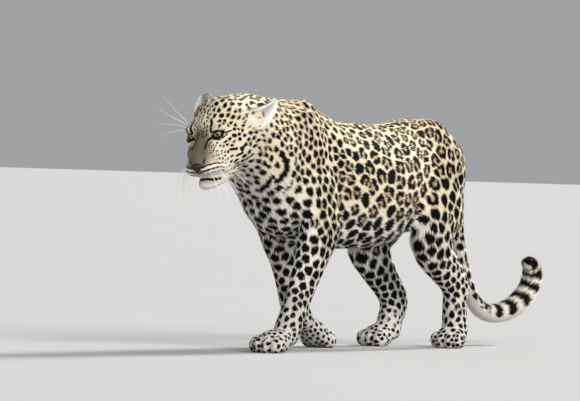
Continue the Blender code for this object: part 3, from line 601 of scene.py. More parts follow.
def layOf(points, normals):
    # Lie of the hair at each point: tangents of the middle lines, weighted by (radius / distance)^6,
    # laid into the surface. Also which line is strongest, the place along it in metres, and the
    # angle about it, which unrolls the skin into strips of its own shape
    weights, tangents, places, angles = [], [], [], []
    for line in lieLines.values():
        rows = smoothRows(line, 14)
        tangent = unit(np.gradient(rows[:, :3], axis=0))
        length = np.r_[0, np.cumsum(np.linalg.norm(np.diff(rows[:, :3], axis=0), axis=1))]
        distance, at = nearest(points, rows[:, :3])
        k = np.rint(at * (len(rows) - 1)).astype(int)
        out = points - rows[k, :3]
        side = unit(np.array((0, 1.0, 0)) - tangent[k] * tangent[k, 1:2])
        up = np.cross(side, tangent[k])
        weights.append((rows[k, 3] / np.maximum(distance, 0.004)) ** 6)
        tangents.append(tangent[k])
        places.append(length[k] + (out * tangent[k]).sum(1))
        angles.append(np.arctan2((out * side).sum(1), (out * up).sum(1)))
    weights = np.array(weights)
    lie = (weights[:, :, None] * np.array(tangents)).sum(0) / weights.sum(0)[:, None]
    droop = ease(points[:, 0], -0.20, 0.05) * ease(points[:, 0], 0.70, 0.45) * (1 - np.abs(normals[:, 2]))
    lie[:, 2] -= 0.32 * droop
    lie = unit(lie - normals * (lie * normals).sum(1)[:, None])
    strongest = weights.argmax(0)
    pick = lambda rows: np.array(rows)[strongest, np.arange(len(points))]
    return lie, strongest, pick(places), pick(angles)


# Spots by place: x, z on the body in metres, then spacing, radius and how many are rosettes
bodySpots = np.array([
    (0.25, 0.43, 44, 19.0, 1.00), (0.36, 0.45, 44, 19.0, 1.00), (0.13, 0.44, 38, 15.5, 0.85),
    (0.46, 0.42, 43, 18.5, 1.00), (0.55, 0.50, 41, 17.5, 1.00), (0.62, 0.52, 32, 12.5, 0.80),
    (0.15, 0.59, 27, 10.5, 0.50), (0.30, 0.58, 31, 13.0, 0.85), (0.45, 0.59, 31, 13.0, 0.85),
    (0.04, 0.50, 24, 9.0, 0.00), (0.00, 0.60, 20, 7.8, 0.00), (-0.10, 0.60, 18, 6.8, 0.00),
    (-0.05, 0.48, 21, 8.2, 0.00), (-0.17, 0.56, 18, 6.6, 0.00), (-0.17, 0.44, 24, 8.2, 0.00),
    (-0.08, 0.38, 30, 10.8, 0.00), (0.00, 0.38, 26, 10.5, 0.00), (0.02, 0.28, 27, 11.2, 0.00),
    (-0.05, 0.20, 25, 10.0, 0.00), (-0.08, 0.11, 19, 7.4, 0.00), (0.12, 0.16, 23, 9.0, 0.00),
    (-0.15, 0.03, 14, 4.6, 0.00), (0.22, 0.04, 14, 4.6, 0.00), (0.25, 0.28, 40, 16.5, 0.00),
    (0.40, 0.29, 39, 16.0, 0.00), (0.10, 0.29, 33, 13.5, 0.00), (0.54, 0.36, 33, 12.8, 0.25),
    (0.60, 0.42, 36, 15.0, 0.90), (0.50, 0.27, 32, 13.5, 0.00), (0.60, 0.19, 24, 10.0, 0.00),
    (0.64, 0.10, 19, 7.2, 0.00), (0.56, 0.03, 14, 4.6, 0.00), (0.70, 0.45, 26, 10.0, 0.00),
    (0.76, 0.28, 27, 10.5, 0.00), (0.87, 0.10, 28, 11.0, 0.00), (1.09, 0.16, 30, 11.0, 0.00),
])
# On the head: forward, left, up in millimetres, then spacing and radius
headSpots = np.array([
    (-115, 0, 62, 16.5, 7.4), (-85, 20, 52, 16.5, 7.4), (-70, 0, 52, 12, 4.8), (-50, 0, 38, 8.5, 3.3),
    (-35, 0, 24, 7, 2.6), (-45, 30, 34, 13, 5.9), (-32, 42, 24, 12, 5.2), (-65, 50, 22, 14.5, 6.6),
    (-55, 66, 0, 13.5, 5.5), (-30, 66, -22, 11.5, 4.2), (0, 50, -46, 7.5, 3.1), (8, 36, -26, 6.5, 2.4),
    (-124, 82, -16, 14, 0.0), (-20, 64, -40, 11.5, 4.5), (-60, 74, -50, 18, 7.2),
    (-100, 74, -50, 17.5, 6.8), (-150, 75, 10, 15, 6.0), (-150, 40, 60, 15, 7.0), (-120, 50, 46, 15.5, 7.0),
    (-120, 70, 10, 13, 5.0), (-50, 60, -84, 16, 5.4), (-100, 66, -110, 18.5, 6.8), (16, 0, -24, 12, 0.0),
    (32, 10, -44, 12, 0.0), (38, 36, -66, 12, 0.0), (20, 0, -128, 12, 0.0), (15, 30, -100, 12, 0.0),
    (-60, 0, -130, 19, 6.2), (-7, 28, 4, 9, 3.0), (-16, 0, 10, 6.5, 2.2), (-16, 20, 14, 7.5, 2.6),
])


def onHead(points):
    # 1 on the head, 0 from the throat and nape backwards
    return ease(np.linalg.norm(toHead(points) - (-30, 0, -30), axis=1), 175, 135)


def spotStyle(points):
    # Spacing, radius and share of rosettes, from the listed places weighted by distance to the minus 4
    xz = points[:, [0, 2]]
    w = 1 / (((xz[:, None] - bodySpots[None, :, :2]) ** 2).sum(2) + 2e-4) ** 2
    trunk = (w @ bodySpots[:, 2:]) / w.sum(1)[:, None] * (1, 1.08, 1)
    p = toHead(points)
    p[:, 1] = np.abs(p[:, 1])
    w = 1 / (((p[:, None] - headSpots[None, :, :3]) ** 2).sum(2) + 30.0) ** 2
    face = np.c_[(w @ headSpots[:, 3:]) / w.sum(1)[:, None], np.zeros(len(points))]
    style = trunk + onHead(points)[:, None] * (face - trunk)
    return style[:, 0] * 0.001, style[:, 1] * 0.001, style[:, 2]


spotRule = {"samples": 46000, "rounds": 5, "near": 0.41, "nearBehind": 0.6, "least": 0.0012, "clear": 0.0020,
            "longer": 1.12, "longerOnHead": 0.30, "grow": (0.96, 0.26), "gap": 0.0014, "gapShare": 0.05}
solid = {"two": 0.13, "three": 0.10}  # how far waves of two and three bulge its outline
rosette = {"ring": 0.66, "middle": 0.56, "long": (0.84, 0.34), "wide": (0.36, 0.14), "shift": 0.35,
           "parts": (3, 6)}


def evened(points, spacing, kept):
    # Moves each spot to the middle of the samples that are nearest to it, so that the gaps even out
    for _ in range(spotRule["rounds"]):
        seeds, scale = points[kept], spacing[kept] ** -2
        apart = lambda part: (seeds ** 2).sum(1) - 2 * part @ seeds.T + (part ** 2).sum(1)[:, None]
        owner = np.concatenate([(apart(part) * scale).argmin(1) for part in np.array_split(points, 30)])
        count = np.maximum(np.bincount(owner, minlength=len(kept)), 1)
        middle = np.stack([np.bincount(owner, points[:, k], len(kept)) for k in range(3)], 1) / count[:, None]
        far = ((points - middle[owner]) ** 2).sum(1)
        order = np.lexsort((far, owner))
        first = np.r_[True, np.diff(owner[order]) > 0]
        kept = kept.copy()
        kept[owner[order][first]] = order[first]
    return kept


def placeSpots(mesh):
    # Dart throwing: a point is kept where no kept one lies nearer than the mean of their spacings
    corners, area, points, normals = trianglesOf(mesh)
    pick = np.searchsorted(np.cumsum(area) / area.sum(), rng.random(spotRule["samples"]))
    points, normals = scattered(corners[pick.clip(max=len(area) - 1)], points, normals)
    normals = unit(normals)
    spacing, radius, share = spotStyle(points)
    usable = (radius > spotRule["least"]) & (strokeDepth(points) < -(radius + spotRule["clear"]))
    points, normals, spacing, radius, share = (k[usable] for k in (points, normals, spacing, radius, share))
    kept, found = np.zeros(len(points), int), 0
    for k in range(len(points)):
        others = kept[:found]
        gap = np.linalg.norm(points[others] - points[k], axis=1)
        gap = gap / (spotRule["near"] * (spacing[others] + spacing[k]))
        if (gap > np.where(normals[others] @ normals[k] < 0, spotRule["nearBehind"], 1.0)).all():
            kept[found] = k
            found += 1
    kept = evened(points, spacing, kept[:found])
    at, normal = points[kept], normals[kept]
    return {"at": at, "normal": normal, "lie": layOf(at, normal)[0], "radius": radius[kept],
            "ring": rng.random(found) < share[kept],
            "long": spotRule["longer"] + spotRule["longerOnHead"] * onHead(at),
            "turns": rng.random((found, 3)) * 2 * np.pi,
            "grow": spotRule["grow"][0] + spotRule["grow"][1] * rng.random(found),
            "parts": rng.integers(*rosette["parts"], found), "wobble": rng.random((found, 5, 3))}


def spotFields(points, normals, spots):
    # How deep each point lies in a dark mark and in the tan middle of a rosette, in metres.
    # A solid spot is R (1 + two sin 2a + three sin 3a) - r. A rosette is 3 to 5 short bars bent round
    # a ring of ring R, and its middle is middle R - r. Both end half a gap before the plane half way
    # to each neighbour, so that the pale net between the marks stays open
    order = np.argsort(points[:, 0])
    p, n = points[order], normals[order]
    mark, core = np.full(len(p), -0.02), np.full(len(p), -0.02)
    sides = np.cross(spots["normal"], spots["lie"])
    span = np.linalg.norm(spots["at"][:, None] - spots["at"][None], axis=2)
    for k in range(len(spots["at"])):
        size = spots["radius"][k] * spots["grow"][k]
        low, high = np.searchsorted(p[:, 0], spots["at"][k, 0] + np.array((-1.8, 1.8)) * size)
        q = p[low:high] - spots["at"][k]
        near = np.nonzero((np.abs(q).max(1) < 1.8 * size) & (n[low:high] @ spots["normal"][k] > 0.2))[0]
        q = q[near]
        x = (q @ spots["lie"][k]) / spots["long"][k]
        y = (q @ sides[k]) * (spots["long"][k] / spotRule["longer"])
        r, a = np.hypot(x, y), np.arctan2(y, x)
        one, two, _ = spots["turns"][k]
        free = np.full(len(r), 1.0)
        for j in np.nonzero((span[k] > 0) & (span[k] < 3.4 * size + 0.004))[0]:
            way = spots["at"][j] - spots["at"][k]
            half = 0.5 * span[k, j] + 0.4 * (spots["radius"][k] - spots["radius"][j])
            free = np.minimum(free, half - q @ way / span[k, j])
        free = free - spotRule["gap"] - spotRule["gapShare"] * size
        if spots["ring"][k]:
            parts = spots["parts"][k]
            deep = np.full(len(r), -0.02)
            for i, (shift, long, wide) in enumerate(spots["wobble"][k, :parts]):
                middle = one + (i + rosette["shift"] * (shift - 0.5)) * 2 * np.pi / parts
                away = (a - middle + np.pi) % (2 * np.pi) - np.pi
                ring = rosette["ring"] * size * (1 + 0.08 * np.sin(2 * a + two))
                halfLong = ring * np.pi / parts * (rosette["long"][0] + rosette["long"][1] * long)
                halfWide = size * (rosette["wide"][0] + rosette["wide"][1] * wide)
                bar = 1 - (np.abs(away * ring / halfLong) ** 2.6 + np.abs((r - ring) / halfWide) ** 2.2)
                deep = np.maximum(deep, halfWide * np.clip(bar, -1, 1) * 0.7)
            inner = rosette["middle"] * size * (1 + 0.06 * np.sin(2 * a + two)) - r
            core[low + near] = np.maximum(core[low + near], np.minimum(inner, free))
        else:
            deep = size * (1 + solid["two"] * np.sin(2 * a + one) + solid["three"] * np.sin(3 * a + two)) - r
        mark[low + near] = np.maximum(mark[low + near], np.minimum(deep, free))
    back = np.empty_like(order)
    back[order] = np.arange(len(order))
    return mark[back], core[back]


def marksAt(points, normals, spots):
    # Spots and strokes together, which thin out in the loose pale hair and under the end of the tail
    mark, core = spotFields(points, normals, spots)
    underTail = ease(points[:, 0], 0.72, 0.80) * ease(-normals[:, 2], 0.15, 0.60)
    clear = 0.008 * ease(fluffAt(points)[2], 0.50, 0.95) + 0.020 * underTail
    return np.maximum(mark, strokeDepth(points)) - clear, core


# Marks drawn as strokes, the one under the upper lip partly painted shade: half width in millimetres, then
# the path in the head's frame
headStrokes = [
    (3.4, [(-12, 33, -3), (-8, 26, -6), (-3, 20, -7)]), (2.4, [(-4, 20, -7), (8, 19, -13), (22, 20, -21)]),
    (3.8, [(-34, 27, 35), (-18, 33, 25), (-12, 30, 11)]),
    (2.5, [(-11, 31, 7), (-14, 43, 10), (-22, 53, 6), (-28, 60, -2), (-42, 67, -5)]),
    (2.0, [(-8, 31, -7), (-6, 42, -10), (-11, 53, -12), (-17, 59, -9), (-27, 64, -7)]),
    (2.1, [(53, 16, -59), (49, 29, -56), (42, 39, -56), (30, 47, -59), (17, 51, -65)]),
    (2.2, [(54, 16, -69), (51, 34, -67), (42, 44, -68), (28, 50, -71), (2, 52, -84)]),
    (2.1, [(50, 24, -79), (45, 38, -77), (29, 45, -81), (9, 46, -88)]),
    (1.5, [(51, 14, -54), (42, 21, -45), (36, 25, -39)]),
    # The black lip and painted shade in the gap of the open mouth
    (3.8, [(42, 0, -95), (38, 16, -98), (24, 25, -104), (10, 30, -110)]),
    (2.4, [(59, 0, -64), (58, 0, -76), (50, 0, -88)]), (3.6, [(-23, 62, -47), (-36, 71, -52)]),
    (3.2, [(-32, 67, -69), (-50, 75, -69)]), (5.8, [(-47, 76, -58), (-51, 76, -59)]),
    (6.0, [(-73, 76, -78), (-77, 76, -80)]), (5.2, [(-52, 75, -33), (-57, 75, -34)]),
    (4.6, [(-74, 76, -34), (-79, 76, -36)]), (5.0, [(-40, 73, -17), (-45, 73, -20)]),
    (6.8, [(-132, 71, -147), (-136, 72, -151)]), (6.4, [(-139, 81, -127), (-142, 81, -131)]),
    (9.6, [(-172, 89, -134), (-181, 88, -151), (-182, 85, -168), (-177, 81, -182), (-164, 73, -191),
           (-154, 64, -198)]),
    (7.8, [(-143, 62, -183), (-137, 48, -195), (-134, 33, -205), (-130, 14, -209)]),
    (5.6, [(-170, 73, 4), (-192, 71, -1)]), (4.6, [(-139, 64, 23), (-131, 72, 15)]),
    (4.8, [(-151, 65, 20), (-160, 66, 15)]), (4.4, [(-194, 76, -219), (-180, 67, -230), (-170, 58, -237)]),
    (4.6, [(-223, 89, -171), (-213, 87, -181)]),
]
tailBands = {"from": 0.90, "step": 0.050, "half": 0.0150, "widest": 0.0205, "wave": 0.004, "tip": 0.012}
strokeReach = 0.33  # how far from the eyes the strokes go, in metres


def laidOnSkin(strokes, mesh):
    # The same strokes with every sample of their paths moved to the nearest point of the skin
    p = toHead(meshPoints(mesh))
    p = p[(p[:, 1] > -1) & (np.linalg.norm(p, axis=1) < 1000 * strokeReach)]
    laid = []
    for half, path in strokes:
        rows = smoothRows(path, 8)
        laid.append((half, np.array([p[((p - row) ** 2).sum(1).argmin()] for row in rows])))
    return laid


def strokeDepth(points):
    # How deep each point lies in a drawn mark, the same on both sides of the head
    deep = np.full(len(points), -0.06)
    near = np.linalg.norm(points - head["eyes"], axis=1) < strokeReach
    p = toHead(points[near])
    p[:, 1] = np.abs(p[:, 1])
    best = np.full(len(p), -60.0)
    for half, path in headStrokes:
        wavy = half * (1 + 0.35 * np.sin(0.62 * p[:, 0] + 9 * half)) if half < 2.3 else half
        best = np.maximum(best, wavy - pathDistance(p, path, 1 if len(path) > 12 else 4))
    best = np.maximum(best, eyePlace(p, 1)[4] + 3.0)
    deep[near] = best * 0.001
    onTail = points[:, 0] > tailBands["from"]
    rows = smoothRows(lieLines["trunk"][:, :3], 14)
    rows = rows[rows[:, 0] > 0.86]
    length = np.r_[0, np.cumsum(np.linalg.norm(np.diff(rows, axis=0), axis=1))]
    along = nearest(points[onTail], rows)[1] * length[-1]
    wave = along + tailBands["wave"] * np.sin(60 * points[onTail, 2] + 90 * points[onTail, 1])
    wider = ease(along, 0.5 * length[-1], length[-1])
    half = tailBands["half"] + (tailBands["widest"] - tailBands["half"]) * wider
    bands = half - np.abs((wave % tailBands["step"]) - tailBands["step"] / 2)
    deep[onTail] = np.maximum(bands, along - length[-1] + tailBands["tip"])
    return deep


colours = {"ground": (0.86, 0.73, 0.52), "back": (0.72, 0.57, 0.36), "pale": (0.93, 0.90, 0.84),
           "mark": (0.006, 0.005, 0.004), "core": (0.52, 0.37, 0.20), "coreShare": 0.85,
           "bridge": (0.085, 0.064, 0.046), "lip": (0.020, 0.014, 0.012), "light": (0.92, 0.89, 0.83),
           "root": (0.42, 0.32, 0.21)}
paintedShade = {"head": 0.15, "feet": 0.16, "frontFeet": 0.16}  # painted shade: how much darker the ground is on each
bridgeLine = [(58, 0, -46), (40, 0, -30), (12, 0, -10), (-6, 0, 0)]
lipLine = [(61, 0, -68), (61, 0, -76), (59, 0, -86)]
shades = [  # grey places of the face, the first painted shade under the upper lip: radius in millimetres, strength, then the path
    (5, 0.6, [(46, 1, -99), (43, 16, -104), (26, 23, -109)]),
    (13, 0.55, [(8, 22, -14), (18, 34, -30), (26, 36, -46)]),
]
fluff = [  # where the coat stands off, on both sides: centre and reach in metres, lift, more length, paleness
    ((0.452, 0.090, 0.314), 0.040, 1.0, 14.0, 0.95), ((0.36, 0.06, 0.280), 0.070, 0.6, 8.0, 0.3),
    ((-0.13, 0.04, 0.380), 0.060, 0.5, 4.0, 0.5), ((0.69, 0.07, 0.330), 0.060, 0.8, 6.0, 0.3),
    ((0.72, 0.03, 0.420), 0.060, 0.6, 4.0, 0.2), ((1.06, 0.00, 0.130), 0.110, 0.8, 6.0, 0.0),
    ((0.045, 0.10, 0.300), 0.045, 0.5, 6.0, 0.0),
]
paleFace = [  # light parts of the face: radius in millimetres, strength, then the path
    (15, 0.9, [(48, 24, -80), (26, 36, -78), (6, 44, -80)]),
    (19, 1.0, [(50, 0, -110), (39, 8, -122), (20, 12, -128), (-30, 0, -142)]),
    (11, 1.0, [(51, 8, -90), (41, 26, -91), (22, 36, -94), (6, 44, -92)]),
    (9, 0.8, [(-118, 78, -4), (-124, 83, -18), (-130, 86, -34)]),
    (26, 0.7, [(-40, 50, -104), (-90, 56, -120)]), (12, 0.7, [(-60, 66, -32), (-84, 70, -34)]),
    (10, 0.6, [(2, 44, -30), (-6, 52, -50)]),
]
lightStrokes = [  # pale lines between the dark ones: half width in millimetres, strength, then the path
    (2.5, 1.0, [(1, 30, -13), (-3, 43, -14), (-9, 55, -16), (-20, 63, -12), (-29, 67, -10)]),
    (2.3, 0.7, [(-12, 41, 16), (-16, 51, 16), (-28, 60, 9), (-34, 62, 1)]),
    (3.4, 1.0, [(53, 12, -64), (52, 29, -62), (42, 42, -62), (26, 48, -65)]),
    (3.4, 1.0, [(54, 20, -74), (44, 41, -73), (10, 51, -77)]),
    (3.0, 0.8, [(58, 3, -84), (50, 24, -85), (30, 40, -89)]),
]


def fluffAt(points):
    # Lift, extra length in millimetres and paleness of the loose hair, each the highest of its bells
    p = points * (1, 0, 1) + np.abs(points) * (0, 1, 0)
    total = np.zeros((3, len(points)))
    for centre, reach, lift, long, pale in fluff:
        bell = np.exp(-((p - centre) ** 2).sum(1) / reach ** 2)
        total = np.maximum(total, bell * np.array((lift, long, pale))[:, None])
    return total


def mix(a, b, share):
    # a + (b - a) share, for rows of colours and a share for each row
    return a + (np.array(b) - a) * share[:, None]


def groundColour(points, normals):
    # Colour of the coat between its marks: tawny, darker along the back, pale below and inside the legs, with
    # painted shade on the head, the lower legs and the chin under the upper lip
    x, y, z = points.T
    colour = mix(np.tile(colours["ground"], (len(points), 1)), colours["back"],
                 ease(z, 0.50, 0.63) * ease(normals[:, 2], -0.1, 0.8) * ease(x, -0.25, -0.1))
    inner = ease(-normals[:, 1] * np.sign(y), 0.1, 0.7) * ease(z, 0.40, 0.30)
    under = ease(-normals[:, 2], 0.0, 0.75) * ease(z, 0.50, 0.40)
    chest = ease(-normals[:, 0], 0.2, 0.9) * ease(x, 0.02, -0.08) * ease(z, 0.52, 0.44)
    low = 0.55 * ease(z, 0.36, 0.26) + 0.3 * ease(z, 0.13, 0.04)
    tail = 0.5 * ease(x, 0.72, 0.80) * ease(-normals[:, 2], -0.3, 0.8)
    colour = mix(colour, colours["pale"], np.clip(np.max([inner, under, chest, low, tail], axis=0), 0, 1))
    colour = mix(colour, colours["pale"], np.clip(fluffAt(points)[2], 0, 1))
    near = np.linalg.norm(points - head["eyes"], axis=1) < 0.26
    p, c = toHead(points[near]), colour[near]
    p[:, 1] = np.abs(p[:, 1])
    for radius, strength, path in paleFace:
        c = mix(c, colours["pale"], strength * np.exp(-(pathDistance(p, path, 6) / radius) ** 2))
    narrower = ease(p[:, 0], 24, -6)
    bridge = ease(pathDistance(p, bridgeLine, 8), 50 - 16 * narrower, 22 - 10 * narrower)
    c = mix(c, colours["bridge"], 0.92 * bridge)
    # Grey places of the face, the first of them painted shade on the chin under the upper lip
    for radius, strength, path in shades:
        c = mix(c, colours["bridge"], strength * np.exp(-(pathDistance(p, path, 6) / radius) ** 2))
    for radius, strength, path in lightStrokes:
        line = ease(pathDistance(p, path, 6), radius * 1.25, radius * 0.7)
        c = mix(c, colours["light"], strength * line)
    lips = np.minimum(pathDistance(p + (0, 0, 2.5), mouthLine, 6) - 1, pathDistance(p, lipLine, 5) + 1.4)
    c = mix(c, colours["lip"], ease(lips, 4.6, 3.2))
    colour[near] = c
    # Painted shade: the ground darkened over the head, down the lower legs and most on the forefeet
    feet = ease(z, 0.30, 0.10) * (paintedShade["feet"] + paintedShade["frontFeet"] * ease(x, 0.35, 0.20))
    return colour * (1 - np.maximum(paintedShade["head"] * onHead(points), feet))[:, None]


coat = {"spacing": 2.25, "faceSpacing": 1.35, "footSpacing": 1.9, "width": 2.5, "lift": 14.0, "most": 49000,
        "sampledAt": 0.6, "spread": 0.16, "faceLength": 4.0}
coatLengths = np.array([  # x and z on the body in metres, length of the hair in millimetres
    (0.25, 0.50, 10.5), (0.25, 0.28, 17), (0.05, 0.28, 14), (0.45, 0.31, 17), (0.0, 0.50, 10),
    (-0.15, 0.55, 11), (-0.15, 0.42, 14), (-0.08, 0.36, 14), (0.0, 0.62, 12), (0.5, 0.60, 11),
    (0.60, 0.42, 12), (0.70, 0.36, 17), (-0.08, 0.15, 7.5), (-0.15, 0.03, 6), (0.2, 0.05, 6),
    (0.62, 0.12, 8), (0.56, 0.03, 6), (0.12, 0.18, 8), (0.76, 0.28, 15), (0.9, 0.09, 16), (1.09, 0.18, 17),
    (0.06, 0.36, 15),
])


def hairLength(points):
    # From the listed places on the body, weighted as the spots are, and short over the face, in metres
    xz = points[:, [0, 2]]
    w = 1 / (((xz[:, None] - coatLengths[None, :, :2]) ** 2).sum(2) + 4e-4) ** 2
    long = (w @ coatLengths[:, 2]) / w.sum(1)
    p = toHead(points)
    face = ease(np.linalg.norm(p - (0, 0, -50), axis=1), 150, 70)
    muzzle = ease(p[:, 0], -20, 30)
    under = ease(-p[:, 2], 60, 130) * ease(p[:, 0], 40, -60)
    long = 0.85 * long
    return 0.001 * (long + face * (coat["faceLength"] - 1.7 * muzzle + 6 * under - long))


def growRoots(mesh):
    # Roots spread over the skin so that each triangle gets its share of its area over spacing squared
    corners, area, points, normals = trianglesOf(mesh)
    middle = points[corners].mean(1)
    face = ease(np.linalg.norm(toHead(middle) - (0, 0, -50), axis=1), 140, 75)
    spacing = coat["spacing"] + face * (coat["faceSpacing"] - coat["spacing"])
    foot = ease(middle[:, 2], 0.12, 0.05) * (1 - face)
    spacing = 0.001 * (spacing + foot * (coat["footSpacing"] - coat["spacing"]))
    count = np.floor(area / spacing ** 2 + rng.random(len(area))).astype(int)
    pick = np.repeat(np.arange(len(area)), count)
    roots, outward = scattered(corners[pick], points, normals)
    return roots, unit(outward), spacing[pick]


def bareAt(points):
    # Where no hair grows: inside the lids, on the nose pad, on the lips and on the soles
    p = toHead(points)
    bare = (points[:, 2] < 0.004) | (pathDistance(p + (0, 0, 1.5), mouthPath, 8) < 3.4)
    bare |= np.linalg.norm((p - nose["at"]) / (np.array(nose["radii"]) + 0.6), axis=1) < 1
    for side in (-1, 1):
        bare |= eyePlace(p, side)[4] > -1.6
    return bare


def tuftShapes(roots, normals, lies, length, width, lift, spread):
    # Each tuft is a closed three sided spike: two roots side by side, a raised third one, and a tip that
    # leans out of the lie by the lift, with a little sideways spread
    count = len(roots)
    sides = np.cross(normals, lies)
    turn = spread * rng.standard_normal(count)[:, None]
    way = lies * np.cos(turn) + sides * np.sin(turn)
    rise = np.radians(lift * (0.6 + 0.8 * rng.random(count)))[:, None]
    side = np.cross(normals, way)
    base, half = roots - normals * 0.0004, (0.5 * width)[:, None]
    reach = (way * np.cos(rise) + normals * np.sin(rise)) * length[:, None]
    tip, ridge = base + reach, base + normals * 0.7 * half + reach * 0.12
    points = np.stack([base - side * half, base + side * half, ridge, tip], 1).reshape(-1, 3)
    bent = unit(normals[:, None] + np.stack([-0.5 * side, 0.5 * side, -0.1 * way, 0.35 * way], 1))
    start = 4 * np.arange(count)[:, None, None]
    tris = (start + np.array([[0, 3, 2], [3, 1, 2], [1, 3, 0], [0, 2, 1]])).reshape(-1, 3)
    return points, tris, bent.reshape(-1, 3)


def paint(mesh, name, values):
    # A number or a colour for each point, as an attribute that materials read
    if values.ndim == 1:
        mesh.attributes.new(name, "FLOAT", "POINT").data.foreach_set("value", values.astype(np.float32))
    else:
        rows = np.c_[values, np.ones(len(values))].astype(np.float32)
        mesh.attributes.new(name, "FLOAT_COLOR", "POINT").data.foreach_set("color", rows.ravel())


def coatPiece(name, material, tufts, tint, uv):
    # One mesh of tufts with their tints, and a small patch of the UV map for each at its root's place
    points, tris, bent = tufts
    points[:, 2] = np.maximum(points[:, 2], 0.0004)
    piece = addPiece(name, meshFrom(name, points, tris), material)
    mesh = piece.data
    paint(mesh, "tint", np.repeat(tint, 4, axis=0))
    paint(mesh, "along", np.tile((0.0, 0.0, 0.15, 1.0), len(tint)))
    corner = np.array([(0, 0), (0.003, 0), (0.0015, 0.0015), (0.0015, 0.003)])
    patch = (uv[:, None] + corner[None]).reshape(-1, 2)[tris.ravel()]
    mesh.uv_layers.new(name="OFBake").uv.foreach_set("vector", patch.astype(np.float32).ravel())
    mesh.normals_split_custom_set_from_vertices(bent)
    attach(piece, "root")
    return piece


def growCoat(mesh, spots, material):
    # The whole coat in pieces along the lines of the lie, each unrolled round its own line
    roots, normals, spacing = growRoots(mesh)
    keep = ~bareAt(roots)
    roots, normals, spacing = roots[keep], normals[keep], spacing[keep]
    lie, line, place, angle = layOf(roots, normals)
    loose = fluffAt(roots)
    length = (hairLength(roots) + 0.001 * loose[1]) * (0.8 + 0.4 * rng.random(len(roots)))
    lift = coat["lift"] * (1 + 1.1 * loose[0])
    shown = roots + coat["sampledAt"] * lie * length[:, None]
    mark, core = marksAt(shown, normals, spots)
    tint = groundColour(shown, normals)
    ragged = (0.0003 + 0.035 * length) * rng.standard_normal(len(roots))
    tint = mix(tint, colours["core"], colours["coreShare"] * ease(core + 2 * ragged, -0.002, 0.002))
    tint = tint * (0.88 + 0.24 * rng.random(len(roots)))[:, None]
    tint = mix(tint, colours["mark"], ease(mark + 0.6 * ragged, -0.0006, 0.0006))
    width = spacing * coat["width"] / coat["spacing"]
    count = 0
    for number, name in enumerate(lieLines):
        own = np.nonzero(line == number)[0]
        own = own[np.argsort(place[own])]
        for part, k in enumerate(np.array_split(own, max(1, math.ceil(len(own) / coat["most"])))):
            tufts = tuftShapes(roots[k], normals[k], lie[k], length[k], width[k], lift[k], coat["spread"])
            u = (place[k] - place[k].min()) / np.ptp(place[k])
            uv = 0.003 + 0.99 * np.stack([u, angle[k] / (2 * np.pi) + 0.5], 1)
            coatPiece("coat_%s_%d" % (name, part + 1), material, tufts, tint[k], uv)
            count += len(k)
    print("coat grown,", count, "tufts")


class Wire:
    # A socket in a node tree. Sums, differences and products with it add their own Math nodes
    def __init__(self, tree, socket=None):
        self.tree, self.socket = tree, socket

    def node(self, kind, settings=None, inputs=None, out=0):
        # Any node by its type: its settings first, then a value or a link for each socket
        made = self.tree.nodes.new(kind)
        for name, value in (settings or {}).items():
            setattr(made, name, value)
        for name, value in (inputs or {}).items():
            if isinstance(value, Wire):
                self.tree.links.new(value.socket, made.inputs[name])
            else:
                made.inputs[name].default_value = value
        return Wire(self.tree, made.outputs[out])

    def maths(self, operation, a, b):
        # One Math node on two sockets or numbers
        return self.node("ShaderNodeMath", {"operation": operation}, {0: a, 1: b})

    def __add__(self, other): return self.maths("ADD", self, other)
    def __radd__(self, other): return self.maths("ADD", other, self)
    def __sub__(self, other): return self.maths("SUBTRACT", self, other)
    def __rsub__(self, other): return self.maths("SUBTRACT", other, self)
    def __mul__(self, other): return self.maths("MULTIPLY", self, other)
    def __rmul__(self, other): return self.maths("MULTIPLY", other, self)

    def step(self, low, high):
        # 0 below low, 1 above high, smooth between
        smooth = {"interpolation_type": "SMOOTHSTEP"}
        return self.node("ShaderNodeMapRange", smooth, {0: self, 1: low, 2: high})

    def mix(self, factor, a, b):
        # Colour a + (b - a) factor
        return self.node("ShaderNodeMix", {"data_type": "RGBA"}, {0: factor, 6: a, 7: b}, 2)

    def place(self):
        # Object coordinates, in metres
        return self.node("ShaderNodeTexCoord", out="Object")

    def noise(self, scale, detail=2.0, rough=0.5, at=None):
        # Fractal noise about 0.5, on the object's own place unless another is given
        return self.node("ShaderNodeTexNoise", {}, {"Vector": at or self.place(), "Scale": scale,
                                                    "Detail": detail, "Roughness": rough})

    def painted(self, name, out="Fac"):
        # An attribute of the mesh by its name
        return self.node("ShaderNodeAttribute", {"attribute_name": name}, out=out)

    def bump(self, height, distance, strength=1.0):
        # A normal that leans with the slope of a height
        return self.node("ShaderNodeBump", {}, {"Height": height, "Distance": distance, "Strength": strength})


def finishOf(name, build):
    # A material whose build function returns the sockets of one Principled shader
    made = bpy.data.materials.new(name)
    made.use_nodes = True
    tree = made.node_tree
    tree.nodes.clear()
    shader = tree.nodes.new("ShaderNodeBsdfPrincipled")
    tree.links.new(shader.outputs[0], tree.nodes.new("ShaderNodeOutputMaterial").inputs[0])
    for socket, value in build(Wire(tree)).items():
        if isinstance(value, Wire):
            tree.links.new(value.socket, shader.inputs[socket])
        else:
            shader.inputs[socket].default_value = value
    return made


def furLook(w):
    # Skin under the coat: the same ground and marks, with fine short hair in the bump
    ragged = (w.noise(420.0, 3.0) - 0.5) * 0.004
    dark = (w.painted("mark") + ragged).step(-0.0006, 0.0006)
    tan = (w.painted("core") + ragged).step(-0.002, 0.002)
    ground = w.mix(w.noise(700.0, 2.0) * 0.5, w.painted("ground", "Color"), (*colours["root"], 1))
    colour = w.mix(tan * colours["coreShare"], ground, (*colours["core"], 1))
    return {"Base Color": w.mix(dark, colour, (*colours["mark"], 1)), "Roughness": 0.75,
            "Normal": w.bump(w.noise(900.0, 3.0), 0.0012, 0.6), "Specular IOR Level": 0.06}


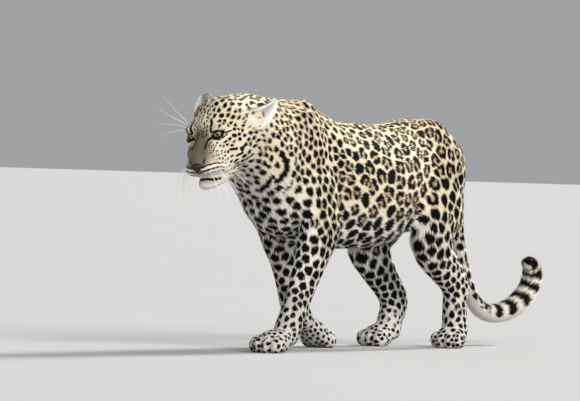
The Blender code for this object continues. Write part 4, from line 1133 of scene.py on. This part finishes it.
def tuftLook(w):
    # Hair: the tint of the tuft, darker where it leaves the skin
    root = w.painted("along").step(0.0, 0.6) * 0.35 + 0.65
    tint = w.mix(root, (0.0, 0.0, 0.0, 1), w.painted("tint", "Color"))
    return {"Base Color": tint, "Roughness": 0.8, "Specular IOR Level": 0.06}


skin = buildSkin()
print("skin fused,", len(skin.data.polygons), "faces")
dressSkin(skin)
fullSkin = skin.data.copy()
mesh = thinnedSkin(skin)
headStrokes = laidOnSkin(headStrokes, mesh)
spots = placeSpots(mesh)
print("skin dressed,", len(mesh.polygons), "faces,", len(spots["at"]), "spots")
skinPoints, skinNormals = meshPoints(mesh), meshNormals(mesh)
mark, core = marksAt(skinPoints, skinNormals, spots)
paint(mesh, "mark", mark)
paint(mesh, "core", core)
paint(mesh, "ground", groundColour(skinPoints, skinNormals))
mesh.materials.append(finishOf("fur", furLook))
fleshNodes = [n for n in frame["nodes"] if not n.startswith(("ear", "eye", "nose"))]
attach(skin, "root")
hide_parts(*fleshNodes)
hairFinish = finishOf("hair", tuftLook)
growCoat(fullSkin, spots, hairFinish)


def ringPoints(angle, around):
    # Unit directions at an angle from the first axis, around it, as (forward, side, up)
    return np.stack([np.cos(angle) + 0 * around, np.sin(angle) * np.cos(around),
                     np.sin(angle) * np.sin(around)], -1)


gaze = {"turn": {1: 31.0, -1: -27.0}, "down": 3.0, "cornea": 1.4, "corneaEnd": 36.0, "iris": 31.0,
        "pupil": 11.1, "rings": 60, "sides": 72}  # angles in degrees from the line of sight
rim = {"count": 96, "sides": 8, "thick": 1.25, "thickerAbove": 0.35, "off": 0.9}


def eyeBall(side):
    # B(a, b) = centre + r(a) (cos a g + sin a cos b s + sin a sin b u) about the line of sight g,
    # where r(a) swells over the iris by the cornea's height times 1 - (a / corneaEnd)^2
    rings, sides = gaze["rings"], gaze["sides"]
    a = np.linspace(0, np.pi, rings + 2)[1:-1]
    around = np.linspace(0, 2 * np.pi, sides, endpoint=False)
    over = lambda a: np.maximum(1 - (np.degrees(a) / gaze["corneaEnd"]) ** 2, 0)
    swell = lambda a: eyes["radius"] + gaze["cornea"] * over(a)
    axes = turned(gaze["turn"][side], -gaze["down"]) @ headAxes.T
    centre = np.array(eyes["centre"]) * (1, side, 1)
    ball = ringPoints(a[:, None], around[None]) * swell(a)[:, None, None]
    ends = np.array(((swell(0.0), 0, 0), (-eyes["radius"], 0, 0)))
    points, tris = closedGrid(inHead(centre + ball @ axes), *inHead(centre + ends @ axes))
    name = "eyeball_" + ("left" if side > 0 else "right")
    piece = addPiece(name, meshFrom(name, points, tris), eyeFinish)
    paint(piece.data, "gaze", np.r_[np.repeat(np.degrees(a), sides), 0.0, 180.0])
    spokes = np.stack([np.tile(np.cos(around), rings), np.tile(np.sin(around), rings),
                       np.repeat(np.degrees(a) / 60, sides)], 1)
    paint(piece.data, "spokes", np.vstack([spokes, (0, 0, 0), (0, 0, 3)]))
    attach(piece, "root")
    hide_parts("eye_left" if side > 0 else "eye_right")


def eyeLook(w):
    # Round pupil, golden green iris with fibres and a dark rim, brown beyond
    angle = w.painted("gaze")
    fibres = w.noise(7.0, 4.0, 0.65, w.painted("spokes", "Vector"))
    iris = w.mix(angle.step(9.0, 25.0), (0.27, 0.20, 0.07, 1), (0.33, 0.31, 0.16, 1))
    iris = w.mix(fibres.step(0.42, 0.75) * 0.55, iris, (0.12, 0.095, 0.04, 1))
    iris = w.mix(angle.step(26.0, gaze["iris"]), iris, (0.018, 0.013, 0.008, 1))
    colour = w.mix(angle.step(gaze["pupil"] - 0.5, gaze["pupil"] + 0.5), (0.002, 0.002, 0.002, 1), iris)
    return {"Base Color": colour, "Roughness": 0.10, "Specular IOR Level": 0.15, "Coat Weight": 0.30,
            "Coat Roughness": 0.02}


def bareLook(w):
    # Black moist skin of lids and lips, finely wrinkled
    grain = w.noise(1500.0, 3.0)
    return {"Base Color": w.mix(grain, (0.010, 0.008, 0.007, 1), (0.032, 0.024, 0.020, 1)), "Roughness": 0.34,
            "Normal": w.bump(grain, 0.0005, 0.5)}


def lidRim(side):
    # A thin black roll round the slit: the slit's outline laid on a ball, with a round section
    count, sides = rim["count"], rim["sides"]
    turn = math.radians(eyes["turn"])
    out = np.array((math.cos(turn), side * math.sin(turn), 0))
    inner = np.array((math.sin(turn), -side * math.cos(turn), 0))
    a = np.linspace(0, 2 * np.pi, count, endpoint=False)
    x = eyes["halfLong"] * np.cos(a)
    bow = np.maximum(1 - np.cos(a) ** 2, 0) ** 0.8
    z = np.where(np.sin(a) > 0, eyes["upper"] * bow, -eyes["lower"] * bow) - eyes["slant"] * x
    reach = eyes["radius"] + rim["off"]
    w = np.sqrt(reach ** 2 - x ** 2 - z ** 2)
    middle = x[:, None] * inner + z[:, None] * (0, 0, 1.0) + w[:, None] * out
    along = unit(np.roll(middle, -1, 0) - np.roll(middle, 1, 0))
    outward = unit(middle)
    across = np.cross(along, outward)
    b = np.linspace(0, 2 * np.pi, sides, endpoint=False)[None, :, None]
    width = rim["thick"] * (1 + rim["thickerAbove"] * (np.sin(a) > 0))[:, None, None]
    grid = middle[:, None] + width * (np.cos(b) * across[:, None] + 0.7 * np.sin(b) * outward[:, None])
    centre = np.array(eyes["centre"]) * (1, side, 1)
    points = inHead(centre + grid.reshape(-1, 3))
    r, s = np.meshgrid(np.arange(count), np.arange(sides), indexing="ij")
    at = lambda r, s: (r % count * sides + s % sides).ravel()
    quads = np.stack([at(r, s), at(r + 1, s), at(r + 1, s + 1), at(r, s + 1)], 1)
    p = points[quads]
    facing = np.cross(p[:, 1] - p[:, 0], p[:, 3] - p[:, 0])
    if (facing * (p.mean(1) - inHead(centre + np.repeat(middle, sides, 0)))).sum() < 0:
        quads = quads[:, ::-1]
    name = "lidRim_" + ("left" if side > 0 else "right")
    piece = addPiece(name, meshFrom(name, points, quads), bareFinish)
    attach(piece, "root")


def noseLook(w):
    # Dark bare nose skin with its pebbled pattern, and painted shade in the nostrils
    cells = w.node("ShaderNodeTexVoronoi", {"feature": "F1"}, {"Vector": w.place(), "Scale": 900.0})
    tone = w.mix(w.noise(120.0), (0.022, 0.016, 0.014, 1), (0.050, 0.036, 0.031, 1))
    # Painted shade: the nostril dents turn almost black with their depth
    tone = w.mix(w.painted("deep").step(0.15, 0.6), tone, (0.004, 0.003, 0.003, 1))
    return {"Base Color": w.mix(cells.step(0.35, 0.7) * 0.6, tone, (0.010, 0.008, 0.007, 1)),
            "Roughness": 0.5, "Normal": w.bump(1 - cells, 0.0006, 0.7), "Specular IOR Level": 0.22}


def buildNose():
    # N(a, b) = at + radii of a rounded box, whose front is dented by exp(-(d / r)^2) at each nostril,
    # in a comma that runs back along the side, and by a fine groove down its middle
    rings, sides = 90, 120
    a = np.linspace(0, np.pi, rings + 2)[1:-1, None]
    b = np.linspace(0, 2 * np.pi, sides, endpoint=False)[None]
    power = lambda v, e: np.sign(v) * np.abs(v) ** e
    ball = np.stack([np.cos(a) + 0 * b, power(np.sin(a), 0.9) * power(np.cos(b), 0.85),
                     power(np.sin(a), 0.9) * power(np.sin(b), 0.85)], -1)
    side, up = np.abs(ball[..., 1]), ball[..., 2]
    ball[..., 1] *= 1 - 0.42 * ease(-up, -0.1, 1.0)
    dent = np.zeros(side.shape)
    for k, size in ((0.0, 0.17), (0.5, 0.15), (1.0, 0.12)):
        y, z = nose["nostril"][0] + 0.34 * k, nose["nostril"][1] + 0.22 * k
        away = ((side - y) ** 2 + (up - z) ** 2) / size ** 2
        dent = np.maximum(dent, (1 - 0.35 * k) * np.exp(-away ** 1.5))
    groove = 0.10 * np.exp(-(ball[..., 1] / 0.05) ** 2) * ease(-up, -0.4, 0.4)
    front = ease(ball[..., 0], -0.2, 0.25)
    inward = (dent * nose["dent"] / nose["radii"][0] + groove) * front
    ball = ball * (1 - inward[..., None] * np.array((1.0, 0.35, 0.2)))
    place = lambda p: inHead(np.array(nose["at"]) + (p * nose["radii"]) @ (turned(0, -8) @ headAxes.T))
    points, tris = closedGrid(place(ball), *place(np.array(((1.0, 0, 0), (-1.0, 0, 0)))))
    piece = addPiece("nosePad", meshFrom("nosePad", points, tris), noseFinish)
    # Depth of the nostril dents, which the nose finish turns into painted shade
    paint(piece.data, "deep", np.r_[(dent * front).ravel(), 0, 0])
    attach(piece, "root")
    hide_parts("nose")


# Ears: ends of the base, tip and the way the cup opens, in the head's frame and millimetres
ears = {
    "left": {"front": (-114, 69, 17), "back": (-127, 88, -39), "tip": (-206, 103, 4),
             "opens": (0.66, 0.70, 0.27), "fold": 1.7, "round": (2.4, 0.75)},
    "right": {"front": (-126, -28, 4), "back": (-122, -89, -10), "tip": (-154, -69, 54),
              "opens": (0.90, -0.1, 0.30), "fold": 0.0, "round": (3.2, 0.5)},
}
earForm = {"cup": 17.0, "wall": 4.2, "rings": 30, "sides": 48}


def earPoints(ear, v, a):
    # E(v, a) = middle + v (tip - middle) + cos a w(v) half - (1 - cos^2 a) d(v) n + sin a t n / 2:
    # a trough whose width w and depth d fall to nothing at the tip, with wall t and opening way n.
    # A folded ear narrows faster along its front edge, as (1 - v)^fold
    front, back, tip = (np.array(ear[k], float) for k in ("front", "back", "tip"))
    middle, half = (front + back) / 2, (front - back) / 2
    axis = unit(tip - middle)
    way = unit(np.array(ear["opens"]) - axis * (axis @ np.array(ear["opens"])))
    half = half - axis * (half @ axis) * 0.3
    up = np.clip(v, 0, 1)
    broad = (1 - up ** ear["round"][0]) ** ear["round"][1] * (1 + 0.10 * np.sin(np.pi * up))
    wide = broad + ease(np.cos(a), -0.4, 0.7) * ((1 - up) ** ear["fold"] - broad) * (ear["fold"] > 0)
    deep = earForm["cup"] * (1 - 0.8 * up ** 1.3)
    wall = earForm["wall"] * (1 - 0.75 * up) * (0.35 + 0.65 * np.sin(a) ** 2)
    across = np.cos(a)
    return (middle + v[..., None] * (tip - middle) + (across * wide)[..., None] * half
            - (deep * wide * (1 - across ** 2))[..., None] * way + (np.sin(a) * wall / 2)[..., None] * way)


def earLook(w):
    # Grey pink skin with down inside, black outside with a pale patch towards the tip
    inside = w.painted("inside")
    skinTone = w.mix(w.noise(260.0, 3.0), (0.40, 0.31, 0.26, 1), (0.66, 0.57, 0.50, 1))
    outer = w.mix(w.noise(420.0, 3.0) * 0.5, (0.016, 0.012, 0.010, 1), (0.06, 0.045, 0.03, 1))
    return {"Base Color": w.mix(inside.step(-0.1, 0.15), outer, skinTone), "Roughness": 0.7,
            "Normal": w.bump(w.noise(700.0, 3.0), 0.0008, 0.5)}


def buildEar(name, ear):
    # The cup as a closed shell, marked inside where the sine of its angle is above nothing
    rings, sides = earForm["rings"], earForm["sides"]
    v = np.linspace(-0.18, 0.985, rings)
    a = np.linspace(0, 2 * np.pi, sides, endpoint=False)
    grid = earPoints(ear, *np.meshgrid(v, a, indexing="ij"))
    tip = earPoints(ear, np.array([1.0]), np.array([np.pi / 2]))[0]
    points, tris = closedGrid(inHead(grid), inHead(grid[0].mean(0)), inHead(tip))
    title = "ear_" + name + "_cup"
    piece = addPiece(title, meshFrom(title, points, tris), earFinish)
    paint(piece.data, "inside", np.r_[np.tile(np.sin(a), rings), -1.0, 0.0])
    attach(piece, "root")
    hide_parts("ear_" + name)
    growEarHair(name, ear)


earHair = {"inner": 5200, "outer": 6500, "innerLong": 13.0, "outerLong": 5.0, "innerWidth": 0.0009,
           "outerWidth": 0.0016, "lift": 11.0, "spread": 0.12, "pale": (0.90, 0.87, 0.80)}


def growEarHair(name, ear):
    # Long pale hair inside from the front edge and the root towards the tip, darker in the middle of the cup
    # as painted shade, short black hair outside
    count = earHair["inner"] + earHair["outer"]
    inner = np.arange(count) < earHair["inner"]
    v = np.where(inner, rng.random(count) ** 1.1 * 0.93, -0.02 + 0.99 * rng.random(count))
    a = np.where(inner, np.pi * (0.02 + 0.96 * rng.random(count)), np.pi * (1 + rng.random(count)))
    step = 1e-3
    p = earPoints(ear, v, a)
    along, across = earPoints(ear, v + step, a) - p, earPoints(ear, v, a + step) - p
    p, along, across = inHead(p), unit(along @ headAxes), unit(across @ headAxes)
    normals = unit(np.cross(across, along))
    centre = inHead(earPoints(ear, v, 0 * a + np.pi / 2))
    back = inHead(earPoints(ear, v, 0 * a - np.pi / 2))
    outwards = np.where(inner[:, None], centre - back, back - centre)
    normals = normals * np.sign((normals * (outwards + 0.2 * (p - (centre + back) / 2))).sum(1))[:, None]
    lie = unit(along + np.where(inner, 0.55, 0.0)[:, None] * across)
    lie = unit(lie - normals * (lie * normals).sum(1)[:, None])
    edge = np.abs(np.cos(a)) ** 6
    innerLong, outerLong = earHair["innerLong"] * (1.15 - 0.6 * v), earHair["outerLong"] * (1 + 0.8 * edge)
    length = 0.001 * np.where(inner, innerLong, outerLong) * (0.7 + 0.6 * rng.random(count))
    # Painted shade: the inner hair in the middle of the cup is half as bright as at its edges
    paintedCupShade = 0.5 + 0.5 * ease(np.abs(np.cos(a)), 0.1, 0.8)
    pale = np.array(earHair["pale"]) * ((0.8 + 0.4 * rng.random(count)) * paintedCupShade)[:, None]
    dark = np.array(colours["mark"]) * (1 + 2 * rng.random(count))[:, None]
    patch = ease(v, 0.45, 0.6) * ease(v, 0.95, 0.8) * ease(np.abs(np.cos(a)), 0.75, 0.5) + (edge > 0.75) * 0.8
    tint = np.where(inner[:, None], pale, dark + (pale - dark) * np.clip(patch, 0, 1)[:, None])
    width = np.where(inner, earHair["innerWidth"], earHair["outerWidth"])
    tufts = tuftShapes(p, normals, lie, length, width, earHair["lift"], earHair["spread"])
    uv = 0.003 + 0.99 * np.stack([np.clip(v + 0.05, 0, 1), a / (2 * np.pi)], 1)
    coatPiece("ear_" + name + "_hair", hairFinish, tufts, tint, uv)


# Whiskers: root, bend and tip in the head's frame and millimetres
whiskers = {
    "near": [
        ((34, 46, -62), (35, 90, -80), (24, 108, -132)), ((40, 42, -66), (46, 81, -88), (40, 94, -146)),
        ((30, 48, -70), (38, 83, -98), (34, 92, -162)), ((22, 50, -66), (16, 93, -86), (-2, 110, -140)),
        ((18, 51, -72), (14, 89, -98), (-2, 101, -160)), ((44, 38, -74), (56, 68, -102), (56, 72, -166)),
        ((36, 44, -77), (49, 70, -107), (50, 70, -173)), ((26, 46, -78), (33, 74, -108), (28, 76, -174)),
        ((12, 50, -76), (2, 87, -98), (-22, 98, -156)), ((48, 32, -70), (66, 60, -96), (72, 62, -158)),
        ((46, 34, -80), (63, 55, -110), (68, 48, -176)),
    ],
    "far": [
        ((50, -30, -66), (66, -62, -84), (62, -80, -150)),
        ((46, -36, -70), (66, -70, -98), (70, -84, -176)),
        ((40, -40, -74), (48, -72, -104), (40, -88, -182)),
        ((52, -26, -74), (74, -48, -98), (78, -56, -160)),
        ((44, -36, -62), (62, -78, -66), (74, -96, -118)),
        ((38, -42, -68), (40, -82, -90), (22, -98, -160)),
        ((34, -44, -64), (30, -88, -74), (4, -108, -130)),
        ((50, -28, -80), (62, -42, -120), (58, -46, -170)),
        ((54, -20, -66), (78, -40, -68), (88, -50, -104)),
    ],
    "brow": [
        ((-24, -38, 24), (16, -66, 74), (20, -92, 104)), ((-22, -42, 20), (10, -74, 58), (30, -98, 62)),
        ((-26, -36, 27), (-4, -60, 88), (-10, -78, 126)), ((-20, -44, 16), (14, -80, 34), (34, -106, 20)),
        ((-24, 38, 24), (4, 60, 70), (6, 78, 104)), ((-22, 42, 20), (6, 72, 56), (16, 96, 66)),
        ((-26, 36, 27), (-16, 52, 82), (-30, 62, 112)), ((-20, 44, 16), (8, 78, 36), (22, 102, 22)),
    ],
}


def strand(root, bend, tip, thick, steps=14, sides=5):
    # H(s, a) = (1 - s)^2 root + 2 s (1 - s) bend + s^2 tip, a round section that thins to the tip
    s = np.linspace(0, 1, steps + 1)[:, None]
    middle = inHead((1 - s) ** 2 * root + 2 * s * (1 - s) * bend + s ** 2 * tip)
    along = unit(np.gradient(middle, axis=0))
    side = unit(np.cross(along, (0.3, 0.2, 1.0)))
    up = np.cross(along, side)
    a = np.linspace(0, 2 * np.pi, sides, endpoint=False)[None, :, None]
    radius = 0.001 * thick * (1 - 0.82 * s)[:, None]
    grid = middle[:, None] + radius * (np.cos(a) * side[:, None] + np.sin(a) * up[:, None])
    return closedGrid(grid[:-1], middle[0], middle[-1])


thickness = {"near": 0.55, "far": 0.55, "brow": 0.42, "mirrored": 0.5, "chin": 0.28}
chinHair = {"count": 46, "from": -10, "to": 48, "half": 16, "long": (14, 22)}


def growWhiskers():
    # Listed whiskers, those of the near lip mirrored for the far one, and short hair under the chin
    shapes, mirror = [], np.array((1, -1, 1))
    for place, rows in whiskers.items():
        for root, bend, tip in np.array(rows, float):
            sunk = root - 0.06 * (bend - root)
            jitter = rng.normal(0, 2.5, (2, 3))
            shapes.append(strand(sunk, bend + jitter[0], tip + jitter[1], thickness[place]))
            if place == "near":
                other = (bend + jitter[1]) * mirror + (0, 0, 6), (tip + jitter[0] * 2) * mirror + (4, 0, 10)
                shapes.append(strand(sunk * mirror, *other, thickness["mirrored"]))
    for _ in range(chinHair["count"]):
        a, f = rng.uniform(-1, 1), rng.uniform(chinHair["from"], chinHair["to"])
        root = np.array((f, a * chinHair["half"], -122 + 5 * abs(a) - 4 * (f < 15)))
        tip = root + (1 + rng.normal(0, 2), a * 6, -rng.uniform(*chinHair["long"]))
        shapes.append(strand(root, root + (3, a * 3, -10), tip, thickness["chin"], 6, 4))
    points, tris = joined(shapes)
    points[:, 2] = np.maximum(points[:, 2], 0.002)
    white = lambda w: {"Base Color": w.mix(w.noise(300.0), (0.90, 0.88, 0.83, 1), (0.97, 0.96, 0.93, 1)),
                       "Roughness": 0.35}
    piece = addPiece("whiskers", meshFrom("whiskers", points, tris), finishOf("whisker", white))
    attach(piece, "root")


eyeFinish, bareFinish = finishOf("eye", eyeLook), finishOf("bareSkin", bareLook)
noseFinish, earFinish = finishOf("nose", noseLook), finishOf("earSkin", earLook)
for side in (1, -1):
    eyeBall(side)
    lidRim(side)
buildNose()
for name, ear in ears.items():
    buildEar(name, ear)
growWhiskers()
print("eyes, ears, nose and whiskers set")


picture = {"azimuth": -54.0, "height": 0.6, "away": 14.0, "roll": 1.5, "aim": (0.0, 0.0, 0.384),
           "lens": 338.9, "sensor": 36.0, "clip": 200.0}


def setCamera():
    # The camera stands back from the aim point along the photograph's line of sight, rolled a little
    a, e, r = (math.radians(picture[k]) for k in ("azimuth", "height", "roll"))
    back = np.array((math.sin(a) * math.cos(e), -math.cos(a) * math.cos(e), math.sin(e)))
    right = np.array((math.cos(a), math.sin(a), 0.0))
    up = np.cross(back, right)
    right, up = right * math.cos(r) + up * math.sin(r), up * math.cos(r) - right * math.sin(r)
    where = np.array(picture["aim"]) + back * picture["away"] - footCentre
    camera = bpy.data.objects.new("camera", bpy.data.cameras.new("camera"))
    camera.data.lens, camera.data.sensor_width = picture["lens"], picture["sensor"]
    camera.data.clip_end = picture["clip"]
    stand = np.vstack([np.column_stack([right, up, back, where]), (0, 0, 0, 1)])
    camera.matrix_world = mathutils.Matrix(stand.tolist())
    bpy.context.scene.collection.objects.link(camera)
    bpy.context.scene.camera = camera


lamps = {  # where each soft lamp stands, how wide it looks in degrees, and its strength
    "key": {"from": (-0.8, -4.6, 2.6), "wide": 34.0, "strength": 3.0},
    "fill": {"from": (-4.0, -1.2, 0.5), "wide": 50.0, "strength": 1.1},
    "rim": {"from": (3.6, -0.2, 2.4), "wide": 14.0, "strength": 4.4},
}


room = {"tint": (0.93, 0.94, 0.96, 1), "strength": 0.38}


def setLights():
    # Three soft lamps that shine towards the middle, in an evenly pale room
    for name, lamp in lamps.items():
        light = bpy.data.lights.new(name, "SUN")
        light.angle, light.energy = math.radians(lamp["wide"]), lamp["strength"]
        holder = bpy.data.objects.new(name, light)
        holder.location = lamp["from"]
        holder.rotation_euler = (-mathutils.Vector(lamp["from"])).to_track_quat("-Z", "Y").to_euler()
        bpy.context.scene.collection.objects.link(holder)
    world = bpy.data.worlds.new("paleRoom")
    world.use_nodes = True
    world.node_tree.nodes["Background"].inputs[0].default_value = room["tint"]
    world.node_tree.nodes["Background"].inputs[1].default_value = room["strength"]
    bpy.context.scene.world = world
    bpy.context.scene.view_settings.view_transform = "Standard"


paleFloor = {"half": 60, "cells": 18, "dark": (0.37, 0.366, 0.356, 1), "light": (0.395, 0.39, 0.38, 1)}


def setFloor():
    # A wide flat square of equal cells under the feet
    cells, line = paleFloor["cells"], paleFloor["cells"] + 1
    x, y = np.meshgrid(*[np.linspace(-paleFloor["half"], paleFloor["half"], line)] * 2, indexing="ij")
    r, s = np.meshgrid(np.arange(cells), np.arange(cells), indexing="ij")
    a = (r * line + s).ravel()
    points = np.stack([x.ravel(), y.ravel(), 0 * x.ravel()], 1) + footCentre
    floor = addPiece("floor", meshFrom("floor", points, np.stack([a, a + line, a + line + 1, a + 1], 1)))
    plain = lambda w: {"Base Color": w.mix(w.noise(3.0), paleFloor["dark"], paleFloor["light"]),
                       "Roughness": 0.9}
    floor.data.materials.append(finishOf("paleFloor", plain))


setCamera()
setLights()
setFloor()
print("camera, lights and floor set")
